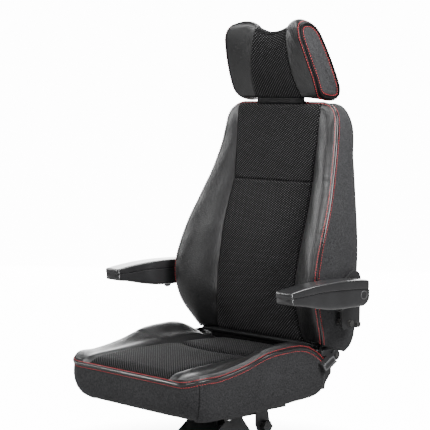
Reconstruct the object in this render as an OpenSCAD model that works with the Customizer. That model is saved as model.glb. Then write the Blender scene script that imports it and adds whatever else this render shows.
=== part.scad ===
// High-back driver's seat on a folded-steel pedestal. Millimetres, +Z up, -Y is the front.
// The origin is the centre of the floor bolt pattern, at the underside of the base plate.

/* [Pedestal] */
// Width and length of the square base plate
base_size = 340; // [300:10:420]
// Thickness of the base plate
base_t = 6; // [4:1:10]
// Spacing of the floor bolts, both ways
bolt_pitch = 290; // [240:10:300]
// Diameter of the floor bolt holes
bolt_hole = 11; // [9:0.5:13]
// Least distance from a floor bolt to the edge of the base plate
bolt_edge = 14; // [12:1:24]
// Height of the pedestal's top face
ped_h = 136; // [124:2:180]
// Width over the two cheeks
ped_w = 130; // [110:5:160]
// Sheet thickness of the pedestal
ped_t = 4; // [3:0.5:6]
// Foot of the cheeks, ahead of the origin
foot_front = 160; // [140:5:168]
// Foot of the cheeks, behind the origin
foot_rear = 142; // [120:5:165]
// Radius of the relief notches in the front plate
notch_r = 17; // [10:1:20]

/* [Slide] */
// Distance between the two rails
rail_gap = 184; // [160:4:220]
// Length of the fixed rails
rail_len = 280; // [240:10:300]
// Width of a fixed rail
rail_w = 40; // [34:1:46]
// Height of the slide, from the pedestal to the pan
slide_h = 24; // [22:1:30]

/* [Cushion] */
// Width over the cushion
seat_w = 490; // [440:10:540]
// Front of the cushion, ahead of the origin
seat_front = 283; // [250:5:310]
// Rear of the cushion, behind the origin
seat_rear = 188; // [182:1:189]
// Width of the woven centre panel of the cushion
panel_w = 304; // [260:4:330]
// Height of the foam block above the pan
foam_h = 99; // [90:1:106]
// Thickness of the centre pads
pad_t = 36; // [26:1:44]
// Rise of the side bolsters above the centre pads
bolster_rise = 42; // [20:2:56]

/* [Back] */
// Height of the recliner pivot above the pan floor
pivot_z = 125; // [120:1:128]
// Recliner pivot behind the origin
pivot_y = 208; // [206:1:216]
// Diameter of the round recliners
recliner_d = 50; // [44:1:52]
// Height of the top of the back above the pivot
back_h = 644; // [580:4:700]
// Width of the woven centre panel of the back
back_panel_w = 300; // [260:4:320]
// Width over the back at its widest
back_w = 530; // [500:5:560]
// Thickness of the moulded rear cover
cover_t = 3.5; // [2.5:0.5:5]
// Wall of the upholstered side panels
side_wall = 14; // [10:1:16]

/* [Headrest] */
// Diameter of the headrest posts
post_d = 12; // [10:0.5:14]
// Spacing of the headrest posts
post_gap = 110; // [96:2:118]
// Lean of the posts from the vertical, in degrees
post_lean = 4.5; // [3:0.5:6]
// Width over the headrest
head_w = 302; // [280:2:330]
// Height of the headrest at its middle
head_h = 172; // [164:2:190]

/* [Armrests] */
// Distance between the insides of the two armrests
arm_gap = 600; // [596:1:640]
// Width of an armrest
arm_w = 57; // [50:1:66]
// Reach of an armrest ahead of its pivot
arm_reach = 262; // [250:1:290]
// Diameter of the armrest's pivot bolt
arm_bolt_d = 12; // [10:0.5:14]
// Thickness of the armrest bracket
arm_plate_t = 6; // [4:0.5:7]

/* [Hidden] */

gap = 0.3;              // running clearance between pieces that move past each other
round_fit = 0.1;        // radial clearance round a shaft in its bore
black = [0.07, 0.07, 0.075];
leather = [0.11, 0.11, 0.115];
weave = [0.16, 0.16, 0.165];
cloth = [0.25, 0.25, 0.26];
steel = [0.72, 0.73, 0.75];

// Pedestal and slide, from the floor up
top_t = 5;
top_z = ped_h - top_t;                 // underside of the top plate
neck_z = 113;                          // where the flared edges turn upright
neck_front = -6;
neck_rear = 58;
rail_z = ped_h;
rail_wall = 2.5;
rail_y = 30;                           // middle of the fixed rails
rail_h = 14;
pan_z = rail_z + slide_h;              // underside of the pan
pan_t = 3;
pan_w = 300;
floor_z = pan_z + pan_t;               // top of the pan floor
split_z = floor_z + foam_h;            // top of the foam block
top_plate_l = 150;

// Cushion outlines along Y
half_w = seat_w / 2;
half_p = panel_w / 2;
front_r = 52;                          // plan radius of the front corners
rear_r = 24;
pad_rear = pivot_y - recliner_d / 2 - 5;   // rear end of the pads, clear of the recliner

// Recliner stack along X, from the back's plate out to the lever
pivot_h = floor_z + pivot_z;
recl_r = recliner_d / 2;
plate_x = 196;
plate_t = 4;
disc_t = 6;
seat_plate_x = plate_x + plate_t + 2 * disc_t + gap;
lever_x = half_w + 7;
lever_t = 4;
rod_d = 12;

// Back, heights measured from the pivot
back_bottom = pivot_h + 28;
back_top = pivot_h + back_h;
back_s = (back_top - back_bottom) / 616;  // stretch of the outline tables with the back's height
foam_back = 204;                       // rear plane of the foam at the back's lower edge
lean_y = 70;                           // how far that plane leans over the back's height

// Headrest, in a frame that stands on the top of the back and leans with the posts
post_y = 286;
tilt_z = 72;                           // hinge of the headrest, above the top of the back
post_len = 190;
hinge_at = [post_y + tilt_z * sin(post_lean), back_top + tilt_z * cos(post_lean)];
head_bottom = back_top + 18;
head_rise = 29;                        // rise of the wings' tops above the middle

// Armrest, measured from its pivot
arm_pivot = [pivot_y - 8, pivot_h + 167];
arm_x = arm_gap / 2;
bracket_x = arm_x - 10 - arm_plate_t;
stop_at = [39, 29];
stop_d = 12;

// ---- helpers ------------------------------------------------------------

function mean(r) = [for (k = [0:2]) let (c = [for (p = r) p[k]]) c * [for (p = r) 1] / len(r)];
function mix(a, b, t) = a + (b - a) * t;
function draw_in(d, r) = d >= r ? 0 : r - sqrt(max(0, r * r - (r - d) * (r - d)));
function steps(n) = [for (i = [0:n]) i / n];
function arc_pts(c, r, a0, a1, n) = [for (t = steps(n)) c + r * [cos(mix(a0, a1, t)), sin(mix(a0, a1, t))]];

// Closed solid through a stack of rings; each ring has the same number of points. The two
// ends close on a point at their middle, pushed out by nose and tail.
module skin(rings, nose = [0, 0, 0], tail = [0, 0, 0]) {
    n = len(rings[0]);
    m = len(rings);
    points = concat([for (r = rings) each r], [mean(rings[0]) + nose, mean(rings[m - 1]) + tail]);
    sides = [for (j = [0:m - 2], i = [0:n - 1]) let (k = (i + 1) % n)
        each [[j * n + i, (j + 1) * n + k, j * n + k], [j * n + i, (j + 1) * n + i, (j + 1) * n + k]]];
    first = [for (i = [0:n - 1]) [n * m, i, (i + 1) % n]];
    last = [for (i = [0:n - 1]) [n * m + 1, (m - 1) * n + (i + 1) % n, (m - 1) * n + i]];
    polyhedron(points, concat(sides, first, last), convexity = 8);
}

module both_sides() {
    children();
    mirror([1, 0, 0]) children();
}

// Bar along X between two distances from the middle
module x_bar(x0, x1, at, d) {
    translate([x0, at[0], at[1]]) rotate([0, 90, 0]) cylinder(d = d, h = x1 - x0, $fn = 48);
}

// Plate in the Y-Z plane, its outline drawn in Y and Z
module x_plate(x0, t) {
    translate([x0, 0, 0]) rotate([90, 0, 90]) linear_extrude(t) children();
}

module hex_head(d, h) {
    cylinder(d = d, h = h, $fn = 6);
}

// ---- pedestal -----------------------------------------------------------

base_r = 20;                            // corner radius of the base plate
plate_size = max(base_size, bolt_pitch + 2 * bolt_edge);    // the plate grows with its bolts
cable_d = 70;                           // hole for cables in the base plate

module base_plate() color(black) difference() {
    linear_extrude(base_t) difference() {
        square([plate_size, plate_size], center = true);
        for (a = [0:90:270]) rotate(a) translate([plate_size / 2, plate_size / 2]) difference() {
            square(2 * base_r, center = true);
            translate([-base_r, -base_r]) circle(base_r, $fn = 64);
        }
    }
    for (x = [-1, 1], y = [-1, 1]) translate([x, y, 0] * bolt_pitch / 2)
        translate([0, 0, -1]) cylinder(d = bolt_hole, h = base_t + 2, $fn = 48);
    translate([0, -10, -1]) cylinder(d = cable_d, h = base_t + 2, $fn = 64);
}

module cheek_outline() {
    polygon([[-foot_front, base_t], [foot_rear, base_t], [neck_rear, neck_z], [neck_rear, top_z],
        [neck_front, top_z], [neck_front, neck_z]]);
}

module cheek() x_plate(ped_w / 2 - ped_t, ped_t) difference() {
    cheek_outline();
    translate([18, 62]) circle(d = 44, $fn = 64);
    translate([-62, 34]) circle(d = 26, $fn = 48);
    translate([78, 34]) circle(d = 26, $fn = 48);
}

module pedestal_cheek_left() color(cloth) cheek();
module pedestal_cheek_right() color(cloth) mirror([1, 0, 0]) cheek();

// Sloping sheet between the cheeks, from a foot on the base plate to the neck
module slope_plate(foot, neck, side) {
    rise = neck_z - base_t;
    run = abs(foot - neck);
    angle = atan2(rise, run);
    shift = ped_t / sin(angle);
    x_plate(-ped_w / 2 + ped_t, ped_w - 2 * ped_t) polygon([
        [foot, base_t], [foot + side * shift, base_t], [neck + side * shift, neck_z],
        [neck + side * shift, top_z], [neck, top_z], [neck, neck_z]]);
}

module pedestal_front_plate() color(black) difference() {
    slope_plate(-foot_front, neck_front, 1);
    for (s = [-1, 1]) translate([s * (ped_w / 2 - ped_t - notch_r + 5), neck_front - 30, neck_z + 7])
        rotate([-90, 0, 0]) cylinder(r = notch_r, h = 60, $fn = 64);
    translate([0, -95, base_t]) cylinder(d = 50, h = ped_h, $fn = 64);
}

module pedestal_rear_plate() color(black) difference() {
    slope_plate(foot_rear, neck_rear, -1);
    translate([0, 100, base_t]) cylinder(d = 44, h = neck_z - 20, $fn = 64);
}

rail_bolt_d = 8;

module top_bolt_places() {
    for (s = [-1, 1], y = [-1, 1]) translate([s * rail_gap / 2, rail_y + y * 50, 0]) children();
}

module pedestal_top_plate() color(black) difference() {
    translate([-(rail_gap + rail_w) / 2, rail_y - top_plate_l / 2, top_z])
        cube([rail_gap + rail_w, top_plate_l, top_t]);
    top_bolt_places() translate([0, 0, top_z - 1])
        cylinder(d = rail_bolt_d + 2 * round_fit, h = top_t + 2, $fn = 32);
    translate([0, rail_y, top_z - 1]) cylinder(d = 46, h = top_t + 2, $fn = 64);
}

// ---- slide --------------------------------------------------------------

// Open channel with lips turned in over the moving rail's foot
module lower_rail_outline() {
    w = rail_w / 2;
    t = rail_wall;
    slot = rail_w / 2 - 10;
    polygon([[-w, 0], [w, 0], [w, rail_h], [slot, rail_h], [slot, rail_h - t], [w - t, rail_h - t],
        [w - t, t], [t - w, t], [t - w, rail_h - t], [-slot, rail_h - t], [-slot, rail_h], [-w, rail_h]]);
}

module lower_rail() difference() {
    translate([rail_gap / 2, rail_y + rail_len / 2, rail_z]) rotate([90, 0, 0])
        linear_extrude(rail_len) lower_rail_outline();
    top_bolt_places() translate([0, 0, rail_z - 1])
        cylinder(d = rail_bolt_d + 2 * round_fit, h = rail_wall + 2, $fn = 32);
}

module lower_rail_left() color(steel) lower_rail();
module lower_rail_right() color(steel) mirror([1, 0, 0]) lower_rail();

module rail_bolts() color(steel) top_bolt_places() {
    translate([0, 0, top_z - 6]) hex_head(15, 6);
    translate([0, 0, top_z - 0.01]) cylinder(d = rail_bolt_d, h = top_t + rail_wall, $fn = 32);
}

roller_d = 4.4;
foot_z = rail_z + rail_wall + roller_d + 2 * gap;
foot_t = 2;
foot_w = 28;
flange_w = 44;
upper_len = rail_len - 40;
pan_bolt_d = 6;

module upper_rail() translate([rail_gap / 2, rail_y, 0]) difference() {
    union() {
        translate([-foot_w / 2, -upper_len / 2, foot_z]) cube([foot_w, upper_len, foot_t]);
        translate([-5, -upper_len / 2, foot_z]) cube([10, upper_len, pan_z - foot_z]);
        translate([-flange_w / 2, -upper_len / 2, pan_z - pan_t]) cube([flange_w, upper_len, pan_t]);
    }
    pan_bolt_places() translate([0, 0, pan_z - pan_t - 1])
        cylinder(d = pan_bolt_d + 2 * round_fit, h = pan_t + 2, $fn = 32);
}

module upper_rail_left() color(steel) upper_rail();
module upper_rail_right() color(steel) mirror([1, 0, 0]) upper_rail();

module pan_bolt_places() {
    for (x = [-13, 13], y = [-1, 1]) translate([x, y * (upper_len / 2 - 20), 0]) children();
}

module pan_bolts() color(steel) both_sides() translate([rail_gap / 2, rail_y, 0]) pan_bolt_places() {
    translate([0, 0, pan_z - pan_t - 4]) hex_head(10, 4);
    translate([0, 0, pan_z - pan_t - 0.01]) cylinder(d = pan_bolt_d, h = 2 * pan_t, $fn = 32);
}

module rail_rollers() color(steel) both_sides()
    for (y = [-60, -20, 20, 60])
        translate([rail_gap / 2 - foot_w / 2, rail_y + y, foot_z - gap - roller_d / 2])
            rotate([0, 90, 0]) cylinder(d = roller_d, h = foot_w, $fn = 32);

// Bracket beside the slide with the screw that clamps it
knob_at = [rail_gap / 2 + rail_w / 2, 80, 99];
bracket_t = 4;
bracket_off = 6;
clamp_x = knob_at[0] + bracket_off;

clamp_d = 8;
knob_d = 28;
knob_face = clamp_x + bracket_t + 15;
clamp_at = [knob_at[1], knob_at[2]];

module clamp_bracket() color(black) difference() {
    union() {
        x_plate(clamp_x, bracket_t) polygon([[50, rail_z + rail_h], [92, rail_z + rail_h],
            [106, clamp_at[1] - 17], [92, clamp_at[1] - 21], [62, clamp_at[1] - 21],
            [50, clamp_at[1] + 8]]);
        translate([knob_at[0], 52, rail_z + 2]) cube([bracket_off, 38, rail_h - 4]);
    }
    x_bar(clamp_x - 1, clamp_x + bracket_t + 1, clamp_at, clamp_d + 2 * round_fit);
}

module clamp_stud() color(steel) {
    x_bar(clamp_x - 12, clamp_x + bracket_t + 10, clamp_at, clamp_d);
    x_bar(clamp_x - gap - 5, clamp_x - gap, clamp_at, 15);
}

module clamp_knob() color(black) difference() {
    union() {
        x_bar(clamp_x + bracket_t + gap, knob_face, clamp_at, knob_d);
        for (a = [0:60:300]) x_bar(clamp_x + bracket_t + 3, knob_face,
            clamp_at + (knob_d / 2 - 2) * [cos(a), sin(a)], 9);
    }
    x_bar(clamp_x + bracket_t - 1, clamp_x + bracket_t + 10, clamp_at, clamp_d);
}

// ---- cushion ------------------------------------------------------------

pan_front = -200;
pan_rear = seat_rear + 2;

module seat_pan() color(black) difference() {
    union() {
        translate([-pan_w / 2, pan_front, pan_z]) cube([pan_w, pan_rear + pan_t - pan_front, pan_t]);
        translate([0, pan_rear + pan_t, 0]) rotate([90, 0, 0]) linear_extrude(pan_t) polygon([
            [-pan_w / 2, pan_z], [pan_w / 2, pan_z], [seat_plate_x, pan_z + 34], [seat_plate_x, pan_z + 74],
            [-seat_plate_x, pan_z + 74], [-seat_plate_x, pan_z + 34]]);
    }
    for (x = [-62, 0, 62], y = [-140, 10, 120]) translate([x, y, pan_z - 1])
        cylinder(d = 40, h = pan_t + 2, $fn = 48);
    both_sides() translate([rail_gap / 2, rail_y, 0]) pan_bolt_places()
        translate([0, 0, pan_z - 1]) cylinder(d = pan_bolt_d + 2 * round_fit, h = pan_t + 2, $fn = 32);
    for (x = [-120, 0, 120]) translate([x, pan_rear + pan_t + 1, pan_z + 45]) rotate([90, 0, 0])
        cylinder(d = 34, h = pan_t + 2, $fn = 48);
}

// Half width of the cushion at y, with its rounded corners
function side_x(y) = half_w - draw_in(y + seat_front, front_r) - draw_in(seat_rear - y, rear_r);
// Lower edge of the boxing, piping line and crest of the bolsters, and top of the pads
function hem_z(y) = floor_z + lookup(y, [[-283, 22], [-262, 16], [-143, 8], [-31, 11], [85, 24],
    [159, 32], [188, 40]]);
function pipe_z(y) = split_z + lookup(y, [[-283, 13], [-262, 19], [-194, 23], [-110, 36], [-23, 58],
    [40, 63], [75, 63], [103, 59], [149, 38], [178, 18]]);
function pad_z(y) = split_z + pad_t + lookup(y, [[-283, -20], [-268, -9], [-235, -4], [-130, 0],
    [50, 0], [180, -5]]);
function crest_z(y) = pad_z(y) + bolster_rise * lookup(y, [[-283, -0.05], [-262, 0.1], [-194, 0.15],
    [-110, 0.45], [-23, 0.95], [30, 1.05], [75, 1], [110, 0.85], [149, 0.45], [165, 0.1], [178, -0.2]]);
// Seam across the centre panel, a shallow curve that runs back at both sides
function seam_y(x) = 12 + 0.005 * x * x;

module seat_foam() color(cloth) skin([for (y = concat(
        [for (d = [0, 2, 8, 20, 36, 54]) d - seat_front], [-180, -120, -60, 0, 60, 120],
        [for (d = [24, 12, 4, 0]) seat_rear - d]))
    let (w = side_x(y), h = hem_z(y), b = min(pan_w / 2, w - 30),
        bed = y < pan_front ? mix(floor_z, h - 4, (pan_front - y) / (seat_front + pan_front)) : floor_z,
        half = [[b, bed], [w - 12, h], [w - 4, h + 9], [w, mix(h, split_z, 0.5)], [w - 1, split_z]])
    [for (p = half) [p[0], y, p[1]], for (i = [4:-1:0]) [-half[i][0], y, half[i][1]]]],
    nose = [0, -5, 0], tail = [0, 0, 0]);

// One cross-section of a pad at x: from y0 to y1, resting on the foam, rolled down at its ends
function pad_ring(x, y0, y1, front_drop) =
    let (e = 9 * pow(max(0, abs(x) / half_p - 0.9) / 0.1, 2) + 3 * pow(x / half_p, 2),
        n = 7, top = [for (t = steps(n)) let (y = mix(y1 - 12, y0 + 14, t)) [x, y, pad_z(y) - e]])
    concat([[x, y0, split_z], [x, y1, split_z], [x, y1, pad_z(y1) - 9 - e], [x, y1 - 4, pad_z(y1) - 3 - e]],
        top, [[x, y0 + 4, pad_z(y0 + 4) - front_drop - e], [x, y0, pad_z(y0) - front_drop * 2 - e]]);

pad_xs = [-1, -0.985, -0.93, -0.75, -0.5, -0.25, 0, 0.25, 0.5, 0.75, 0.93, 0.985, 1];

module seat_pad_front() color(weave)
    skin([for (u = pad_xs) let (x = u * (half_p - gap / 2))
        pad_ring(x, -seat_front, min(seam_y(x) - 0.5, pad_rear - 40), 2)]);

module seat_pad_rear() color(weave)
    skin([for (u = pad_xs) let (x = u * (half_p - gap / 2))
        pad_ring(x, min(seam_y(x) + 0.5, pad_rear - 39), pad_rear, 4)]);

module bolster() skin([for (y = concat([for (d = [0, 3, 10, 22, 40]) d - seat_front],
        [-210, -170, -130, -90, -50, -15, 20, 55, 90, 120, 145], [for (d = [14, 5, 0]) pad_rear - d]))
    let (x0 = half_p + gap / 2, x1 = side_x(y) - 1, s = split_z, p = pipe_z(y), c = crest_z(y),
        v = pad_z(y) - 8, xc = mix(x0, x1, 0.68), far = min(y + seat_front, pad_rear - y),
        drop = far < 6 ? 6 - far : 0)
    [[x0, y, s], [x0, y, v - drop], [x0 + 6, y, v + 6 - drop],
        [mix(x0, xc, 0.4), y, mix(v + 8, c, 0.45) - drop],
        [mix(x0, xc, 0.75), y, mix(v + 8, c, 0.88) - drop], [xc, y, c - drop],
        [mix(xc, x1, 0.5), y, mix(c, p, 0.3) - drop], [mix(xc, x1, 0.85), y, mix(c, p, 0.75) - drop],
        [x1 + 1, y, p - drop], [x1 + 1, y, mix(s, p, 0.5)], [x1, y, s]]],
    nose = [0, -1, 0], tail = [0, 1, 0]);

module seat_bolster_left() color(leather) bolster();
module seat_bolster_right() color(leather) mirror([1, 0, 0]) bolster();

// ---- recliner -----------------------------------------------------------

recl_at = [pivot_y, pivot_h];

// Upright plate on the pan's rear wall, the lower half of the round recliner and its cover
module recliner_bracket() difference() {
    union() {
        x_plate(seat_plate_x, plate_t) union() {
            polygon([[pan_rear, pan_z + 34], [pan_rear + 17, pan_z + 33], [pan_rear + 21, pan_z + 49],
                [pivot_y + 24, pan_z + 73], [pivot_y + recl_r, pivot_h],
                [pivot_y - recl_r + 0.5, pivot_h], [pan_rear, pan_z + 100]]);
            translate(recl_at) circle(recl_r, $fn = 96);
        }
        x_bar(seat_plate_x - disc_t, seat_plate_x + 1, recl_at, recliner_d);
        x_bar(seat_plate_x + plate_t - 0.01, half_w + 1, recl_at, 30);
    }
    x_bar(plate_x, half_w + 2, recl_at, rod_d + 2 * round_fit);
}

module recliner_bracket_left() color(black) recliner_bracket();
module recliner_bracket_right() color(black) mirror([1, 0, 0]) recliner_bracket();

// Rod that joins both recliners, with the lever on its left end
module recliner_rod() color(steel) x_bar(-seat_plate_x - plate_t - 6, lever_x + lever_t + 3, recl_at, rod_d);

grip_angle = atan2(-27, -47);           // the lever points forwards and down
lever_w = 16;
lever_l = 52;
grip_w = 26;
grip_l = 50;
grip_from = 10;                         // near end of the grip, ahead of the rod
grip_t = lever_t + 11;

module recline_lever() color(black) difference() {
    x_plate(lever_x, lever_t) translate(recl_at) union() {
        circle(14, $fn = 64);
        rotate(grip_angle) translate([0, -lever_w / 2]) square([lever_l, lever_w]);
    }
    x_bar(lever_x - 1, lever_x + lever_t + 1, recl_at, rod_d);
}

module recline_grip() color(black) difference() {
    translate([lever_x - 5, recl_at[0], recl_at[1]]) rotate([90, 0, 90]) rotate(grip_angle) difference() {
        linear_extrude(grip_t) translate([grip_from, -grip_w / 2]) difference() {
            square([grip_l, grip_w]);
            for (m = [0, grip_w]) translate([grip_l, m]) rotate(m == 0 ? 0 : -90) translate([-4, 4])
                difference() {
                    translate([0, -4]) square(4);
                    circle(4, $fn = 48);
                }
        }
        translate([grip_from + 8, -7, grip_t - 3]) cube([grip_l - 16, 14, 5]);
    }
    x_plate(lever_x, lever_t) translate(recl_at) rotate(grip_angle)
        translate([-1, -lever_w / 2]) square([lever_l + 1, lever_w]);
    x_bar(lever_x - 6, lever_x + 12, recl_at, 30);
}

// ---- back ---------------------------------------------------------------

// Outline of the back at a height z: the stations are heights above the back's lower edge
function up(z) = (z - back_bottom) / back_s;
function widen() = (back_w - 530) / 2;
function out_x(z) = widen() + lookup(up(z), [[0, 230], [30, 243], [84, 259], [154, 265], [234, 262],
    [314, 252], [384, 237], [464, 219], [544, 207], [590, 198], [608, 190], [616, 178]]);
function out_y(z) = lookup(up(z), [[0, 176], [30, 158], [69, 134], [109, 120], [154, 115], [194, 119],
    [234, 131], [284, 151], [344, 181], [404, 208], [464, 230], [534, 247], [590, 256], [616, 264]]);
function mid_y(z) = lookup(up(z), [[0, 178], [30, 172], [69, 166], [114, 162], [154, 164], [234, 178],
    [314, 197], [384, 218], [434, 229], [514, 238], [600, 248], [616, 253]]);
function rear_x(z) = widen() + lookup(up(z), [[-20, 222], [30, 235], [70, 241], [150, 247], [234, 245],
    [314, 238], [394, 225], [474, 210], [590, 191], [606, 186], [616, 176]]);
function rear_y(z) = lookup(up(z), [[-20, 272], [0, 287], [30, 291], [84, 294], [234, 294], [314, 296],
    [384, 302], [470, 311], [545, 314], [616, 316]]);
function foam_y(z) = foam_back + lean_y * up(z) / 616;
function wall_x(z) = mix(out_x(z), rear_x(z), (foam_y(z) - out_y(z)) / max(1, rear_y(z) - out_y(z)));

seam_z = back_bottom + 412 * back_s;
half_b = back_panel_w / 2;

function heights(z0, z1, n) = [for (t = steps(n)) mix(z0, z1, t)];

// Centre pad of the back between two heights, rolled back at its four edges
module back_pad(z0, z1, n) {
    skin([for (z = concat([z0, z0 + 3, z0 + 12], heights(z0 + 35, z1 - 35, n), [z1 - 12, z1 - 3, z1]))
        let (d = min(z - z0, z1 - z), roll = d < 14 ? 8 * pow(1 - d / 14, 2) : 0, f = foam_y(z),
            front = [for (u = [-1, -0.97, -0.85, -0.5, 0, 0.5, 0.85, 0.97, 1])
                [u * (half_b - gap / 2), mid_y(z) + roll + 7 * pow(abs(u), 12) - 2 * (1 - u * u), z]])
        concat([for (i = [8:-1:0]) front[i]], [[gap / 2 - half_b, f, z], [half_b - gap / 2, f, z]])]);
}

module back_pad_upper() color(weave) back_pad(seam_z + 0.5, back_top - 1, 4);
module back_pad_lower() color(weave) back_pad(back_bottom, seam_z - 0.5, 9);

// Side bolster: a fat leather roll beside the centre panel that thins out towards the top
module back_bolster() difference() {
    skin([for (z = concat([back_bottom, back_bottom + 3, back_bottom + 10],
        heights(back_bottom + 30, back_top - 46, 15), [for (d = [26, 12, 4, 1]) back_top - d]))
        let (x0 = half_b + gap / 2, x1 = out_x(z), y1 = out_y(z), y0 = mid_y(z), f = foam_y(z),
            w = wall_x(z), xc = x1 - 24, yc = min(y1 - 6, y0 - 2),
            d = min(z - back_bottom, back_top - 1 - z), r = d < 12 ? 7 * pow(1 - d / 12, 2) : 0)
        [[x0, f, z], [x0, y0 + 8 + r, z], [x0 + 5, y0 + 1 + r, z],
            [mix(x0, xc, 0.45), mix(y0, yc, 0.42) + r, z], [mix(x0, xc, 0.78), mix(y0, yc, 0.86) + r, z],
            [xc, yc + r, z], [mix(xc, x1, 0.55), mix(yc, y1, 0.22) + r, z],
            [mix(xc, x1, 0.9), mix(yc, y1, 0.68) + r, z], [x1 - r / 3, y1 + 4 + r, z],
            [mix(x1, w, 0.4) + 1, mix(y1, f, 0.5) + r / 2, z], [w, f, z]]]);
    arm_bolt_places() x_bar(cut_from, cut_to, [0, 0], spacer_d + 2 * round_fit);
}

module back_bolster_left() color(leather) back_bolster();
module back_bolster_right() color(leather) mirror([1, 0, 0]) back_bolster();

// Heights that the side walls and the rear cover share, and how far both hang below the foam
shell_zs = concat(heights(back_bottom, back_top - 40, 12), [back_top - 20, back_top - 6, back_top]);
hem_drop = 22;

// Upholstered side wall, from behind the bolster to the rear corner
module back_side() difference() {
    skin([for (row = concat([[back_bottom, back_bottom - hem_drop], [back_bottom + 16, back_bottom]],
            [for (i = [1:len(shell_zs) - 1]) [shell_zs[i], shell_zs[i]]]))
        let (z = row[0], b = row[1], f = foam_y(z), w = wall_x(z), r = rear_x(b),
            e = rear_y(b) - cover_t - gap)
        [[w - side_wall, f, z], [rear_x(z) - side_wall, e, b], [r - 6, e, b], [r - 1, e - 6, b],
            [mix(w, r, 0.5) + 1.5, mix(f, e, 0.5), mix(z, b, 0.5)], [w, f, z]]]);
    arm_bolt_places() x_bar(cut_from, cut_to, [0, 0], spacer_d + 2 * round_fit);
}

module back_side_left() color(cloth) back_side();
module back_side_right() color(cloth) mirror([1, 0, 0]) back_side();

// Moulded cover over the whole rear, bowed out a little across its width
module back_rear_cover() color(black) skin([for (z = concat([back_bottom - hem_drop], shell_zs))
    let (w = rear_x(z) - 5, us = [-1, -0.85, -0.5, 0, 0.5, 0.85, 1],
        bow = function(u) rear_y(z) + 5 * (1 - u * u))
    concat([for (u = us) [u * w, bow(u) - cover_t, z]], [for (i = [6:-1:0]) [us[i] * w, bow(us[i]), z]])]);

top_in = rear_x(back_top) - side_wall - 0.5;
top_panel_t = 13;

module post_places() {
    for (s = [-1, 1]) translate([s * post_gap / 2, post_y, back_top]) rotate([-post_lean, 0, 0]) children();
}

module back_top_panel() color(cloth) difference() {
    translate([-top_in, foam_y(back_top), back_top - top_panel_t])
        cube([2 * top_in, rear_y(back_top) - cover_t - gap - foam_y(back_top), top_panel_t]);
    post_places() translate([0, 0, -40]) cylinder(d = guide_d + 2 * round_fit, h = 60, $fn = 48);
}

// Sleeves for the headrest posts, each with a flat collar on the top of the back
guide_d = 18;
guide_l = 96;
collar_t = 3;

module headrest_guides() color(black) post_places() difference() {
    union() {
        translate([0, 0, -guide_l]) cylinder(d = guide_d, h = guide_l + 2, $fn = 48);
        translate([0, 0, 1.3]) cylinder(d = guide_d + 9, h = collar_t, $fn = 48);
    }
    translate([0, 0, -guide_l - 1]) cylinder(d = post_d + 2 * round_fit, h = guide_l + 10, $fn = 48);
}

// Pressed side members joined by cross tubes and by the headrest beam
frame_x = plate_x - plate_t;
tube_d = 22;
low_tube = [foam_y(back_bottom + 110) + 26, back_bottom + 110];
mid_tube = [foam_y(back_bottom + 300) + 26, back_bottom + 300];
beam = [foam_y(back_top - 60) + gap, back_top - 84];

// Edge plate of the frame between two heights, its front edge on the foam's rear plane
module member(x, z0, z1, top_cut) x_plate(x, plate_t) polygon([[foam_y(z0) + gap, z0],
    [rear_y(z0) - 16, z0], [rear_y(z1) - top_cut, z1], [foam_y(z1) + gap, z1]]);

step_x = 160;                           // where the frame steps in above the ribs
step_z = 290;

module side_member() {
    member(frame_x - plate_t, back_bottom + 8, back_bottom + step_z + 30, 16);
    member(step_x, back_bottom + step_z - 10, back_top - 40, 20);
    translate([step_x + 2, foam_y(back_bottom + step_z + 4) + gap, back_bottom + step_z])
        cube([frame_x - step_x - 4, 30, 4]);
}

module back_frame() color(steel) difference() {
    union() {
        both_sides() side_member();
        x_bar(-frame_x + 1, frame_x - 1, low_tube, tube_d);
        x_bar(-frame_x + 1, frame_x - 1, mid_tube, tube_d);
        translate([-163, beam[0], beam[1]]) cube([326, 34, 24]);
    }
    post_places() translate([0, 0, -guide_l - 20])
        cylinder(d = guide_d + 2 * round_fit, h = guide_l + 40, $fn = 48);
    both_sides() arm_bolt_places() x_bar(cut_from, cut_to, [0, 0], arm_stud_d + 2 * round_fit);
}

arm_foot = back_bottom + 4;
arm_head = back_bottom + 160;

// Arm of the back, with the upper half of the recliner
module recliner_arm() difference() {
    union() {
        x_plate(plate_x - plate_t, plate_t) union() {
            polygon([[pivot_y - 10, pivot_h - recl_r + 6], [pivot_y + 10, pivot_h - recl_r + 3],
                [rear_y(arm_foot) - 18, arm_foot], [rear_y(arm_head) - 20, arm_head],
                [foam_y(arm_head) + gap, arm_head], [foam_y(arm_foot) + gap, arm_foot]]);
            translate(recl_at) circle(recl_r, $fn = 96);
        }
        x_bar(plate_x - 1, plate_x + disc_t + plate_t, recl_at, recliner_d);
    }
    x_bar(plate_x - plate_t - 1, plate_x + plate_t + disc_t + 1, recl_at, rod_d + 2 * round_fit);
    arm_bolt_places() x_bar(cut_from, cut_to, [0, 0], arm_stud_d + 2 * round_fit);
}

module recliner_arm_left() color(black) recliner_arm();
module recliner_arm_right() color(black) mirror([1, 0, 0]) recliner_arm();

// Padded roll along the lower edge of the back
module back_roll() color(leather) x_bar(-214, 214, [178, back_bottom - 7], 13.6);

// ---- armrests -----------------------------------------------------------

arm_stud_d = 8;
spacer_d = 14;
cut_from = 100;                         // bores of the armrest bolts, from inside the frame
cut_to = 400;                           // to beyond the bracket
stud_at = [[221, back_bottom + 58], [247, back_bottom + 53]];

module arm_bolt_places() {
    for (p = stud_at) translate([0, p[0], p[1]]) children();
}

module at_pivot() {
    translate([0, arm_pivot[0], arm_pivot[1]]) children();
}

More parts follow.
